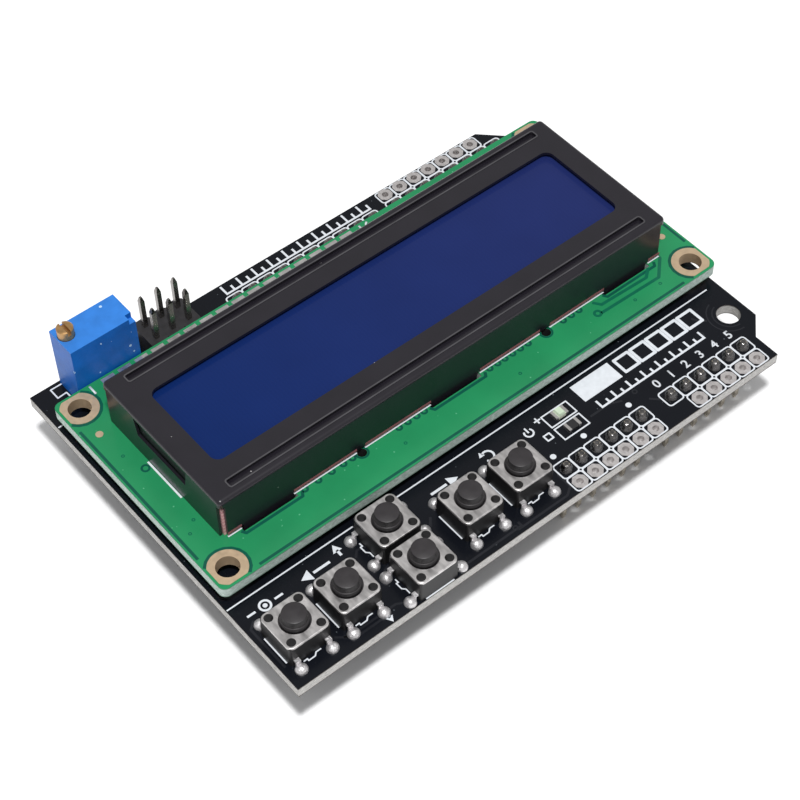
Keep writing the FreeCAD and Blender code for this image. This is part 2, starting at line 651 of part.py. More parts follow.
# Plated bolt holes: each ring is cut straight where it would reach the board's edge.
def make_lcd_rings():
    body = new_body("lcd_rings", lcd_left, lcd_near, lcd_floor)
    reach = s.ring_radius * 2
    for i, x in enumerate((s.lcd_hole_inset, s.lcd_long - s.lcd_hole_inset)):
        for j, y in enumerate((s.lcd_hole_inset, s.lcd_deep - s.lcd_hole_inset)):
            mark = "%d%d" % (i, j)
            for face, z in (("low", -s.ring_proud), ("high", s.lcd_thick)):
                plan = new_sketch(body, "ring_plan_%s_%s" % (face, mark), z)
                draw_circle(plan, x, y, s.ring_radius)
                draw_circle(plan, x, y, s.lcd_hole)
                pad(body, "ring_%s_%s" % (face, mark), plan, s.ring_proud)
            plan = new_sketch(body, "barrel_plan_" + mark, zero)
            draw_circle(plan, x, y, s.lcd_hole + s.ring_wall)
            draw_circle(plan, x, y, s.lcd_hole)
            pad(body, "barrel_" + mark, plan, s.lcd_thick)
    low = -s.ring_proud * 2
    tall = s.lcd_thick + s.ring_proud * 4
    trims = [("left", -reach, -reach, reach + s.ring_edge, s.lcd_deep + reach * 2),
             ("right", s.lcd_long - s.ring_edge, -reach, reach, s.lcd_deep + reach * 2),
             ("near", -reach, -reach, s.lcd_long + reach * 2, reach + s.ring_edge),
             ("far", -reach, s.lcd_deep - s.ring_edge, s.lcd_long + reach * 2, reach)]
    for side, x, y, long, deep in trims:
        plan = new_sketch(body, "trim_plan_" + side, low)
        draw_box(plan, x, y, long, deep)
        pocket(body, "trim_" + side, plan, tall, upward=True)
    return body


# Display header: low plastic strip and 16 pins soldered to both boards.
def make_lcd_header():
    x = left_edge + lcd_pin_x
    y = near_edge + lcd_pin_y
    strip = new_body("lcd_header", x, y, deck)
    make_strip_plastic(strip, s.lcd_gap, s.strip_wide, lcd_pins, 1)
    pins = new_body("lcd_header_pins", x, y, deck)
    face = s.lcd_gap + s.lcd_thick
    pieces = make_pin_row(pins, "pin", zero, zero, -s.board_thick - s.lcd_pin_below,
                          face + s.lcd_pin_above, lcd_pins)
    plan = new_sketch(pins, "land_plan", face)
    draw_box(plan, -s.lcd_pad_wide / 2, -s.lcd_pad_near, s.lcd_pad_wide, s.lcd_pad_near + s.lcd_pad_far)
    pieces.append(pad(pins, "land", plan, s.lcd_pad_tall))
    pieces.append(add_cone(pins, "upper_fillet", zero, zero, face, s.lcd_blob_wide,
                           s.fillet_tip, s.lcd_blob_tall))
    pieces.append(add_cone(pins, "lower_fillet", zero, zero, -s.board_thick, s.fillet_foot,
                           s.fillet_tip, s.fillet_tall, downward=True))
    repeat(pins, "pins", pieces, s.pitch, lcd_pins)
    return [strip, pins]


# Chip blobs: two shallow moulded domes under the display board.
def make_lcd_chips():
    body = new_body("lcd_chips", lcd_left, lcd_near, lcd_floor)
    step = s.chip_blob_tall / 2
    for place, x in enumerate((s.chip_blob_near, s.chip_blob_far)):
        add_cone(body, "blob_rim_%d" % place, x, s.chip_blob_across, zero, s.chip_blob_radius,
                 s.chip_blob_radius * 0.85, step, downward=True)
        add_cone(body, "blob_crown_%d" % place, x, s.chip_blob_across, -step,
                 s.chip_blob_radius * 0.85, s.chip_blob_radius * 0.4, step, downward=True)
    return body


# Display frame: a folded steel tray with a window, two pressed grooves, tabs and side slots.
def make_lcd_bezel():
    body = new_body("lcd_bezel", bezel_left, bezel_near, lcd_top)
    long = s.bezel_long
    deep = s.bezel_deep
    tall = s.bezel_tall
    wall = s.bezel_sheet
    plan = new_sketch(body, "tray_plan", zero)
    draw_box(plan, zero, zero, long, deep)
    block = pad(body, "tray_block", plan, tall)
    top = tall.number
    round_edges(body, "folds", block, s.bezel_round,
                lambda edge: is_upright(edge) or all(abs(v.Point.z - top) < 1e-6 for v in edge.Vertexes))
    plan = new_sketch(body, "hollow_plan", zero)
    draw_box(plan, wall, wall, long - wall * 2, deep - wall * 2)
    pocket(body, "hollow", plan, tall - wall, upward=True)
    groove_long = long - s.groove_end * 2
    for side, y in (("near", s.groove_inset), ("far", deep - s.groove_inset)):
        ridge_half = s.groove_half + wall
        plan = new_sketch(body, "ridge_plan_" + side, tall - wall - s.groove_deep)
        draw_box(plan, s.groove_end - wall, y - ridge_half, groove_long + wall * 2, ridge_half * 2)
        pad(body, "ridge_" + side, plan, s.groove_deep + wall / 2)
        plan = new_sketch(body, "groove_plan_" + side, tall)
        draw_box(plan, s.groove_end, y - s.groove_half, groove_long, s.groove_half * 2)
        groove = pocket(body, "groove_" + side, plan, s.groove_deep)
        bottom = (tall - s.groove_deep).number
        middle = y.number
        round_edges(body, "groove_ends_" + side, groove, s.groove_half * 0.95,
                    lambda edge: is_upright(edge) and abs(edge.Vertexes[0].Point.y - middle) < 1.0
                    and min(v.Point.z for v in edge.Vertexes) > bottom - 1e-6)
    plan = new_sketch(body, "window_plan", tall)
    draw_middle_box(plan, long / 2, deep / 2, s.window_long, s.window_deep)
    window = pocket(body, "window", plan, wall * 2)
    reach_x = s.window_long.number / 2 + 0.01
    reach_y = s.window_deep.number / 2 + 0.01
    middle_x = long.number / 2
    middle_y = deep.number / 2
    round_edges(body, "window_corners", window, s.window_corner,
                lambda edge: is_upright(edge) and abs(edge.Vertexes[0].Point.x - middle_x) < reach_x
                and abs(edge.Vertexes[0].Point.y - middle_y) < reach_y)
    gap = s.corner_gap
    for i, x in enumerate((zero, long - gap)):
        for j, y in enumerate((zero, deep - gap)):
            plan = new_sketch(body, "corner_plan_%d%d" % (i, j), zero)
            draw_box(plan, x, y, gap, gap)
            pocket(body, "corner_%d%d" % (i, j), plan, s.corner_gap_tall, upward=True)
    for side, y in (("near", zero), ("far", deep - wall)):
        plan = new_sketch(body, "lift_plan_" + side, zero)
        draw_box(plan, zero, y, long, wall)
        pocket(body, "lift_" + side, plan, s.bezel_lift, upward=True)
        for place, middle in enumerate(tab_middles):
            plan = new_sketch(body, "tab_plan_%s_%d" % (side, place), -s.tab_drop)
            draw_box(plan, middle - s.tab_long / 2, y, s.tab_long, wall)
            pad(body, "tab_%s_%d" % (side, place), plan, s.tab_drop + s.bezel_lift)
    slot_near = deep / 2 - s.side_slot_long / 2
    slot_far = deep / 2 + s.side_slot_long / 2
    slot_top = s.side_slot_low + s.side_slot_tall
    for side, x in (("left", -wall), ("right", long - wall * 2)):
        plan = new_sketch(body, "side_slot_plan_" + side, x, "YZ_Plane")
        draw_outline(plan, [
            (slot_near, s.side_slot_low), (slot_far, s.side_slot_low),
            (slot_far + s.side_slot_slope, slot_top), (slot_near - s.side_slot_slope, slot_top)])
        pocket(body, "side_slot_" + side, plan, wall * 3, upward=True)
    return body


# Inside the frame: contact strips, backlight panel and the glass cell on top of them.
def make_lcd_stack():
    room = s.bezel_sheet + s.zebra_room
    strip_long = s.bezel_long - room * 2
    pieces = []
    for side, y in (("near", room), ("far", s.bezel_deep - room - s.zebra_wide)):
        body = new_body("zebra_" + side, bezel_left, bezel_near, lcd_top)
        plan = new_sketch(body, "strip_plan", zero)
        draw_box(plan, room, y, strip_long, s.zebra_wide)
        pad(body, "strip", plan, glass_floor)
        pieces.append(body)
    light = new_body("backlight_panel", bezel_left, bezel_near, lcd_top)
    plan = new_sketch(light, "light_plan", zero)
    edge = room + s.zebra_wide + s.light_room
    draw_box(plan, room, edge, strip_long, s.bezel_deep - edge * 2)
    pad(light, "light", plan, glass_floor - s.light_room / 3)
    glass = new_body("lcd_glass", bezel_left, bezel_near, lcd_top + glass_floor)
    plan = new_sketch(glass, "glass_plan", zero)
    inset = s.bezel_sheet + s.glass_room
    draw_box(plan, inset, inset, s.bezel_long - inset * 2, s.bezel_deep - inset * 2)
    pad(glass, "cell", plan, s.glass_thick)
    return pieces + [light, glass]


bodies = [make_shield_board(), make_breakout_pads()]
for strip_name, row_name in (("power_header", 0), ("analog_header", 1),
                             ("digital_low_header", 2), ("digital_high_header", 3)):
    short, start_at, row_at = stack_rows[row_name]
    bodies.append(make_strip(strip_name, start_at, row_at, pins_in_strip[short]))
bodies.append(make_header_pins())
bodies += make_icsp()
bodies += make_small_parts()
bodies.append(make_transistor())
bodies += make_trimmer()
for switch, along, across, turn in (
        ("select", s.select_along, s.select_across, 0), ("left", s.left_along, s.left_across, 0),
        ("up", s.up_along, s.up_across, 90), ("down", s.down_along, s.down_across, 90),
        ("right", s.right_along, s.right_across, 0), ("reset", s.reset_along, s.reset_across, 0)):
    bodies += make_switch(switch, along, across, turn)
bodies += [make_lcd_board(), make_lcd_rings()]
bodies += make_lcd_header()
bodies.append(make_lcd_chips())
bodies.append(make_lcd_bezel())
bodies += make_lcd_stack()

doc.recompute()
for item in doc.Objects:
    if "Invalid" in item.State or "Error" in item.State:
        raise RuntimeError("%s failed: %s" % (item.Name, item.State))
for body in bodies:
    if body.Shape.isNull() or not body.Shape.isValid():
        raise RuntimeError("%s has no valid shape" % body.Label)
os.makedirs("parts", exist_ok=True)
for body in bodies:
    body.Shape.exportStep("parts/%s.step" % body.Label)
    box = body.Shape.BoundBox
    print("%-22s %3d solids %9.2f mm3  z %.2f to %.2f" % (
        body.Label, len(body.Shape.Solids), body.Shape.Volume, box.ZMin, box.ZMax))
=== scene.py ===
import math
import bpy
from mathutils import Matrix, Vector


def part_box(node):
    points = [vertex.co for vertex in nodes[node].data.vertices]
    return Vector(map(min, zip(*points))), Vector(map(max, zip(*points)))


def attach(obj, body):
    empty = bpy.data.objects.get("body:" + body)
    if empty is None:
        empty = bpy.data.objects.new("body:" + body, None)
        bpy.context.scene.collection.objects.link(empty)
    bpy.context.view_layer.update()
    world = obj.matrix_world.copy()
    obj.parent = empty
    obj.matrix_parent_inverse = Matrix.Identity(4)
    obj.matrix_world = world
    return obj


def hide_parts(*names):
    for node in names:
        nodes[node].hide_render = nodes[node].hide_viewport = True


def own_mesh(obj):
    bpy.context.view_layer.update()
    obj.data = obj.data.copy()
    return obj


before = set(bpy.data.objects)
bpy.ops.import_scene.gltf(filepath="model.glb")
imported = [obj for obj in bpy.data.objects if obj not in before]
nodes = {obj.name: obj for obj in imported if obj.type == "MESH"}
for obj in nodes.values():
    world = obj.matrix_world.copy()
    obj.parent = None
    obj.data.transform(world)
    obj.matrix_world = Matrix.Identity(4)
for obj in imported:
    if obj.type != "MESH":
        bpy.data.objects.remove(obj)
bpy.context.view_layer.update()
mm = 0.001
print("frame loaded")

# Places on the board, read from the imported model. The host grid starts at the board's pin origin.
boardLow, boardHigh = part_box("shield_board")
lcdLow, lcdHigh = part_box("lcd_board")
bezelLow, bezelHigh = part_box("lcd_bezel")
deck = boardHigh.z
lcdDeck = lcdHigh.z
pitch = 2.54
hostOrigin = (boardLow.x + 11.3 * mm, boardLow.y + 1.25 * mm)
lcdOrigin = (lcdLow.x, lcdLow.y)
keys = {
    "select": ("legsAcross", (4.2, 5.75)), "left": ("legsAcross", (11.75, 5.7)),
    "up": ("legsAlong", (21.15, 9.9)), "down": ("legsAlong", (21.15, 3.15)),
    "right": ("legsAcross", (30.8, 6.1)), "reset": ("legsAcross", (38.6, 5.95)),
}


def onHost(x, y, z=None):
    return Vector((hostOrigin[0] + x * mm, hostOrigin[1] + y * mm, deck if z is None else z))


def onLcd(x, y, z=None):
    return Vector((lcdOrigin[0] + x * mm, lcdOrigin[1] + y * mm, lcdDeck if z is None else z))


def keyMiddle(name):
    along, across = keys[name][1]
    return Vector((boardLow.x + along * mm, boardLow.y + across * mm, deck))


# Shader effects that several materials share.
def makeGroup(name, inputs, outputs):
    group = bpy.data.node_groups.new(name, "ShaderNodeTree")
    for word, kind, value in inputs:
        socket = group.interface.new_socket(word, in_out="INPUT", socket_type=kind)
        if value is not None:
            socket.default_value = value
    for word, kind in outputs:
        group.interface.new_socket(word, in_out="OUTPUT", socket_type=kind)
    start = group.nodes.new("NodeGroupInput")
    end = group.nodes.new("NodeGroupOutput")
    return group, start, end


def addMath(tree, operation, first, second=None, clamp=False):
    node = tree.nodes.new("ShaderNodeMath")
    node.operation = operation
    node.use_clamp = clamp
    for place, value in enumerate((first, second)):
        if value is None:
            continue
        if isinstance(value, (int, float)):
            node.inputs[place].default_value = value
        else:
            tree.links.new(value, node.inputs[place])
    return node.outputs[0]


def addMix(tree, factor, first, second):
    node = tree.nodes.new("ShaderNodeMix")
    node.data_type = "RGBA"
    for socket, value in ((node.inputs[0], factor), (node.inputs[6], first), (node.inputs[7], second)):
        if isinstance(value, (int, float)):
            socket.default_value = value
        elif isinstance(value, tuple):
            socket.default_value = value if len(value) == 4 else (*value, 1)
        else:
            tree.links.new(value, socket)
    return node.outputs[2]


def addNoise(tree, vector, scale, detail=3.0, rough=0.55):
    node = tree.nodes.new("ShaderNodeTexNoise")
    node.inputs["Scale"].default_value = scale
    node.inputs["Detail"].default_value = detail
    node.inputs["Roughness"].default_value = rough
    tree.links.new(vector, node.inputs["Vector"])
    return node.outputs["Fac"]


def splitVector(tree, vector):
    node = tree.nodes.new("ShaderNodeSeparateXYZ")
    tree.links.new(vector, node.inputs[0])
    return node.outputs


def makeGrain():
    # fine moulded or painted grain: a normal from two sizes of noise
    group, start, end = makeGroup("fineGrain", [
        ("Vector", "NodeSocketVector", None), ("Scale", "NodeSocketFloat", 6.0),
        ("Height", "NodeSocketFloat", 0.3), ("Depth", "NodeSocketFloat", 0.00002)],
        [("Normal", "NodeSocketVector"), ("Mask", "NodeSocketFloat")])
    noise = group.nodes.new("ShaderNodeTexNoise")
    noise.inputs["Detail"].default_value = 4
    group.links.new(start.outputs["Vector"], noise.inputs["Vector"])
    group.links.new(start.outputs["Scale"], noise.inputs["Scale"])
    bump = group.nodes.new("ShaderNodeBump")
    group.links.new(noise.outputs["Fac"], bump.inputs["Height"])
    group.links.new(start.outputs["Height"], bump.inputs["Strength"])
    group.links.new(start.outputs["Depth"], bump.inputs["Distance"])
    group.links.new(bump.outputs["Normal"], end.inputs["Normal"])
    group.links.new(noise.outputs["Fac"], end.inputs["Mask"])
    return group


def makeWear():
    # broad smudges and small pale specks of dust over a colour
    group, start, end = makeGroup("smudgeAndDust", [
        ("Vector", "NodeSocketVector", None), ("Color", "NodeSocketColor", (0.1, 0.1, 0.1, 1)),
        ("Dust Color", "NodeSocketColor", (0.5, 0.5, 0.48, 1)), ("Smudge", "NodeSocketFloat", 0.2),
        ("Smudge Scale", "NodeSocketFloat", 0.35), ("Dust Scale", "NodeSocketFloat", 1.2),
        ("Dust Size", "NodeSocketFloat", 0.06)],
        [("Color", "NodeSocketColor"), ("Mask", "NodeSocketFloat")])
    noise = group.nodes.new("ShaderNodeTexNoise")
    noise.inputs["Detail"].default_value = 3
    group.links.new(start.outputs["Vector"], noise.inputs["Vector"])
    group.links.new(start.outputs["Smudge Scale"], noise.inputs["Scale"])
    shade = addMath(group, "MULTIPLY", addMath(group, "SUBTRACT", noise.outputs["Fac"], 0.5),
                    start.outputs["Smudge"])
    tone = group.nodes.new("ShaderNodeHueSaturation")
    group.links.new(start.outputs["Color"], tone.inputs["Color"])
    group.links.new(addMath(group, "ADD", addMath(group, "MULTIPLY", shade, 2.0), 1.0), tone.inputs["Value"])
    cells = group.nodes.new("ShaderNodeTexVoronoi")
    group.links.new(start.outputs["Vector"], cells.inputs["Vector"])
    group.links.new(start.outputs["Dust Scale"], cells.inputs["Scale"])
    dust = addMath(group, "LESS_THAN", cells.outputs["Distance"], start.outputs["Dust Size"])
    chance = group.nodes.new("ShaderNodeTexNoise")
    chance.inputs["Scale"].default_value = 0.9
    group.links.new(start.outputs["Vector"], chance.inputs["Vector"])
    dust = addMath(group, "MULTIPLY", dust, addMath(group, "GREATER_THAN", chance.outputs["Fac"], 0.5))
    group.links.new(addMix(group, dust, tone.outputs["Color"], start.outputs["Dust Color"]),
                    end.inputs["Color"])
    group.links.new(noise.outputs["Fac"], end.inputs["Mask"])
    return group


def makeScratch():
    # long fine scratches, as rolled or brushed sheet has
    group, start, end = makeGroup("rolledScratches", [
        ("Vector", "NodeSocketVector", None), ("Stretch", "NodeSocketFloat", 14.0),
        ("Scale", "NodeSocketFloat", 3.0), ("Low", "NodeSocketFloat", 0.2), ("High", "NodeSocketFloat", 0.45)],
        [("Roughness", "NodeSocketFloat"), ("Mask", "NodeSocketFloat")])
    split = group.nodes.new("ShaderNodeSeparateXYZ")
    join = group.nodes.new("ShaderNodeCombineXYZ")
    group.links.new(start.outputs["Vector"], split.inputs[0])
    group.links.new(addMath(group, "MULTIPLY", split.outputs["X"], start.outputs["Stretch"]), join.inputs["X"])
    group.links.new(split.outputs["Y"], join.inputs["Y"])
    group.links.new(split.outputs["Z"], join.inputs["Z"])
    noise = group.nodes.new("ShaderNodeTexNoise")
    noise.inputs["Detail"].default_value = 5
    group.links.new(join.outputs[0], noise.inputs["Vector"])
    group.links.new(start.outputs["Scale"], noise.inputs["Scale"])
    span = group.nodes.new("ShaderNodeMapRange")
    group.links.new(noise.outputs["Fac"], span.inputs["Value"])
    span.inputs["From Min"].default_value = 0.3
    span.inputs["From Max"].default_value = 0.7
    group.links.new(start.outputs["Low"], span.inputs["To Min"])
    group.links.new(start.outputs["High"], span.inputs["To Max"])
    group.links.new(span.outputs["Result"], end.inputs["Roughness"])
    group.links.new(noise.outputs["Fac"], end.inputs["Mask"])
    return group


def makeFaceMask():
    # 1 on faces that look up or down, 0 on walls
    group, start, end = makeGroup("levelFaces", [("Limit", "NodeSocketFloat", 0.6)], [("Mask", "NodeSocketFloat")])
    shape = group.nodes.new("ShaderNodeNewGeometry")
    upright = splitVector(group, shape.outputs["Normal"])["Z"]
    level = addMath(group, "GREATER_THAN", addMath(group, "ABSOLUTE", upright), start.outputs["Limit"])
    group.links.new(level, end.inputs["Mask"])
    return group


def makeCutEdge():
    # sawn glass fibre: woven layers along the board, darker at its two skins
    group, start, end = makeGroup("cutBoardEdge", [
        ("Vector", "NodeSocketVector", None), ("Color", "NodeSocketColor", (0.7, 0.7, 0.65, 1)),
        ("Skin Color", "NodeSocketColor", (0.1, 0.1, 0.1, 1)), ("Middle", "NodeSocketFloat", 0.0),
        ("Reach", "NodeSocketFloat", 0.8), ("Skin", "NodeSocketFloat", 0.14)], [("Color", "NodeSocketColor")])
    streak = group.nodes.new("ShaderNodeMapping")
    streak.inputs["Scale"].default_value = (1.1, 1.1, 4.0)
    group.links.new(start.outputs["Vector"], streak.inputs["Vector"])
    fibre = addNoise(group, streak.outputs["Vector"], 1.6, 6, 0.7)
    tone = group.nodes.new("ShaderNodeHueSaturation")
    group.links.new(start.outputs["Color"], tone.inputs["Color"])
    group.links.new(addMath(group, "ADD", addMath(group, "MULTIPLY", fibre, 2.4), -0.2), tone.inputs["Value"])
    height = splitVector(group, start.outputs["Vector"])["Z"]
    away = addMath(group, "ABSOLUTE", addMath(group, "SUBTRACT", height, start.outputs["Middle"]))
    skin = addMath(group, "GREATER_THAN", away,
                   addMath(group, "SUBTRACT", start.outputs["Reach"], start.outputs["Skin"]))
    group.links.new(addMix(group, skin, tone.outputs["Color"], start.outputs["Skin Color"]), end.inputs["Color"])
    return group


def makeMetalEnds():
    # 1 on the metal ends of a chip part, 0 on its middle
    group, start, end = makeGroup("metalEnds", [
        ("Vector", "NodeSocketVector", None), ("Middle", "NodeSocketFloat", 0.0),
        ("Half", "NodeSocketFloat", 0.6)], [("Mask", "NodeSocketFloat")])
    along = splitVector(group, start.outputs["Vector"])["X"]
    away = addMath(group, "ABSOLUTE", addMath(group, "SUBTRACT", along, start.outputs["Middle"]))
    group.links.new(addMath(group, "GREATER_THAN", away, start.outputs["Half"]), end.inputs["Mask"])
    return group


grainGroup = makeGrain()
wearGroup = makeWear()
scratchGroup = makeScratch()
levelGroup = makeFaceMask()
edgeGroup = makeCutEdge()
endsGroup = makeMetalEnds()


def startMaterial(name, finish):
    material = bpy.data.materials.new(name)
    material.use_nodes = True
    tree = material.node_tree
    shader = tree.nodes["Principled BSDF"]
    shader.inputs["Base Color"].default_value = (*finish["color"], 1)
    shader.inputs["Roughness"].default_value = finish.get("rough", 0.4)
    shader.inputs["Metallic"].default_value = finish.get("metal", 0.0)
    shader.inputs["Specular IOR Level"].default_value = finish.get("gloss", 0.5)
    shader.inputs["Coat Weight"].default_value = finish.get("coat", 0.0)
    shader.inputs["Coat Roughness"].default_value = finish.get("coatRough", 0.1)
    place = tree.nodes.new("ShaderNodeTexCoord")
    scale = tree.nodes.new("ShaderNodeMapping")
    scale.inputs["Scale"].default_value = (1000, 1000, 1000)   # object coordinates in millimetres
    tree.links.new(place.outputs["Object"], scale.inputs["Vector"])
    return material, tree, shader, scale.outputs["Vector"]


def useGroup(tree, group, vector, values):
    node = tree.nodes.new("ShaderNodeGroup")
    node.node_tree = group
    tree.links.new(vector, node.inputs["Vector"])
    for word, value in values.items():
        if isinstance(value, tuple) and len(value) == 3:
            value = (*value, 1)
        if isinstance(value, (int, float, tuple)):
            node.inputs[word].default_value = value
        else:
            tree.links.new(value, node.inputs[word])
    return node


def faceUp(tree):
    node = tree.nodes.new("ShaderNodeGroup")
    node.node_tree = levelGroup
    return node.outputs["Mask"]


def plainFinish(name, finish):
    # moulded, painted or cast surface: smudged colour, dust and fine grain, and, where a side colour is given,
    # darker walls in it as painted shade
    material, tree, shader, vector = startMaterial(name, finish)
    color = finish["color"]
    # painted shade: the walls take the darker side colour and the top keeps its own
    if "side" in finish:
        color = addMix(tree, faceUp(tree), finish["side"], finish["color"])
    wear = useGroup(tree, wearGroup, vector, {
        "Color": color, "Dust Color": finish.get("dustColor", (0.4, 0.4, 0.4)),
        "Smudge": finish.get("smudge", 0.25), "Smudge Scale": finish.get("smudgeScale", 0.4),
        "Dust Scale": finish.get("dustScale", 1.0), "Dust Size": finish.get("dustSize", 0.0)})
    tree.links.new(wear.outputs["Color"], shader.inputs["Base Color"])
    grain = useGroup(tree, grainGroup, vector, {
        "Scale": finish.get("grainScale", 8.0), "Height": finish.get("grain", 0.2),
        "Depth": finish.get("grainDepth", 0.00002)})
    tree.links.new(grain.outputs["Normal"], shader.inputs["Normal"])
    rough = addMath(tree, "ADD", finish.get("rough", 0.4) - 0.05,
                    addMath(tree, "MULTIPLY", wear.outputs["Mask"], 0.1))
    tree.links.new(rough, shader.inputs["Roughness"])
    return material


def metalFinish(name, finish):
    # plated, rolled or soldered metal: scratches in its gloss and a soft uneven surface
    material, tree, shader, vector = startMaterial(name, finish)
    scratch = useGroup(tree, scratchGroup, vector, {
        "Stretch": finish.get("stretch", 3.0), "Scale": finish.get("scratchScale", 2.0),
        "Low": finish.get("low", 0.18), "High": finish.get("high", 0.4)})
    tree.links.new(scratch.outputs["Roughness"], shader.inputs["Roughness"])
    dark = tuple(value * finish.get("darken", 0.7) for value in finish["color"])
    tree.links.new(addMix(tree, scratch.outputs["Mask"], dark, finish["color"]), shader.inputs["Base Color"])
    grain = useGroup(tree, grainGroup, vector, {
        "Scale": finish.get("grainScale", 2.0), "Height": finish.get("grain", 0.3),
        "Depth": finish.get("grainDepth", 0.00005)})
    tree.links.new(grain.outputs["Normal"], shader.inputs["Normal"])
    return material


# The two circuit boards: solder mask on the faces, cut glass fibre on the edges.
carrierLook = {"color": (0.0045, 0.0055, 0.0085), "rough": 0.24, "gloss": 0.2, "edge": (0.46, 0.45, 0.435),
               "edgeDark": (0.1, 0.09, 0.08), "dust": (0.07, 0.08, 0.09)}
displayLook = {"color": (0.017, 0.235, 0.09), "rough": 0.25, "gloss": 0.28, "edge": (0.44, 0.53, 0.49),
               "edgeDark": (0.16, 0.26, 0.2), "dust": (0.1, 0.4, 0.22)}


def boardFinish(name, look, low, high):
    material, tree, shader, vector = startMaterial(name, look)
    wear = useGroup(tree, wearGroup, vector, {
        "Color": look["color"], "Dust Color": look["dust"], "Smudge": 0.22, "Smudge Scale": 0.12,
        "Dust Scale": 0.7, "Dust Size": 0.07})
    edge = useGroup(tree, edgeGroup, vector, {
        "Color": look["edge"], "Skin Color": look["edgeDark"], "Middle": (low + high) / 2 / mm,
        "Reach": (high - low) / 2 / mm})
    level = faceUp(tree)
    tree.links.new(addMix(tree, level, edge.outputs["Color"], wear.outputs["Color"]), shader.inputs["Base Color"])
    rough = addMath(tree, "SUBTRACT", 0.75, addMath(tree, "MULTIPLY", level, 0.75 - look["rough"]))
    tree.links.new(rough, shader.inputs["Roughness"])
    grain = useGroup(tree, grainGroup, vector, {"Scale": 0.8, "Height": 0.25, "Depth": 0.00006})
    tree.links.new(grain.outputs["Normal"], shader.inputs["Normal"])
    return material


def displayGlassFinish():
    look = {"color": (0.003, 0.018, 0.105), "far": (0.015, 0.024, 0.115), "rough": 0.1, "gloss": 0.12,
            "cellStep": 0.62, "edge": (0.1, 0.13, 0.12)}
    material, tree, shader, vector = startMaterial("blueDisplayGlass", look)
    place = splitVector(tree, vector)
    across = addMath(tree, "ADD", addMath(tree, "MULTIPLY", place["X"], 0.013), 0.5, True)
    tone = addMix(tree, across, look["color"], look["far"])
    lines = tree.nodes.new("ShaderNodeTexWave")
    lines.inputs["Scale"].default_value = look["cellStep"]
    lines.inputs["Distortion"].default_value = 0
    tree.links.new(vector, lines.inputs["Vector"])
    dim = tree.nodes.new("ShaderNodeHueSaturation")
    tree.links.new(tone, dim.inputs["Color"])
    cloud = addNoise(tree, vector, 0.08, 2)
    shade = addMath(tree, "ADD", addMath(tree, "MULTIPLY", lines.outputs["Fac"], 0.05),
                    addMath(tree, "MULTIPLY", cloud, 0.3))
    tree.links.new(addMath(tree, "ADD", shade, 0.82), dim.inputs["Value"])
    tree.links.new(addMix(tree, faceUp(tree), look["edge"], dim.outputs["Color"]), shader.inputs["Base Color"])
    grain = useGroup(tree, grainGroup, vector, {"Scale": 0.3, "Height": 0.05, "Depth": 0.00003})
    tree.links.new(grain.outputs["Normal"], shader.inputs["Normal"])
    return material


def contactStripFinish():
    look = {"color": (0.56, 0.25, 0.27), "pale": (0.74, 0.46, 0.46), "rough": 0.5}
    material, tree, shader, vector = startMaterial("pinkContactStrip", look)
    layers = tree.nodes.new("ShaderNodeTexWave")
    layers.bands_direction = "Z"
    layers.inputs["Scale"].default_value = 0.5
    layers.inputs["Distortion"].default_value = 0.4
    tree.links.new(vector, layers.inputs["Vector"])
    tree.links.new(addMix(tree, layers.outputs["Fac"], look["color"], look["pale"]), shader.inputs["Base Color"])
    grain = useGroup(tree, grainGroup, vector, {"Scale": 3.0, "Height": 0.2})
    tree.links.new(grain.outputs["Normal"], shader.inputs["Normal"])
    return material


def trimmerFinish():
    # the case's walls take the darker low blue and its top the lighter one: painted shade
    look = {"color": (0.032, 0.19, 0.6), "low": (0.006, 0.115, 0.47), "rough": 0.42, "gloss": 0.22}
    material, tree, shader, vector = startMaterial("blueTrimmerCase", look)
    wear = useGroup(tree, wearGroup, vector, {
        "Color": addMix(tree, faceUp(tree), look["low"], look["color"]), "Dust Color": (0.42, 0.6, 0.82),
        "Smudge": 0.25, "Smudge Scale": 0.5, "Dust Scale": 0.6, "Dust Size": 0.12})
    tree.links.new(wear.outputs["Color"], shader.inputs["Base Color"])
    grain = useGroup(tree, grainGroup, vector, {"Scale": 3.0, "Height": 0.35, "Depth": 0.00006})
    tree.links.new(grain.outputs["Normal"], shader.inputs["Normal"])
    return material


def chipFinish(name, look, middle, half):
    # a chip part: dark or white body, metal ends beyond its middle
    material, tree, shader, vector = startMaterial(name, look)
    ends = useGroup(tree, endsGroup, vector, {"Middle": middle / mm, "Half": half}).outputs["Mask"]
    spots = addNoise(tree, vector, 3.0, 3)
    body = addMix(tree, spots, tuple(value * 0.8 for value in look["color"]), look["color"])
    tree.links.new(addMix(tree, ends, body, (0.72, 0.7, 0.68)), shader.inputs["Base Color"])
    tree.links.new(ends, shader.inputs["Metallic"])
    grain = useGroup(tree, grainGroup, vector, {"Scale": 4.0, "Height": 0.3, "Depth": 0.00004})
    tree.links.new(grain.outputs["Normal"], shader.inputs["Normal"])
    return material


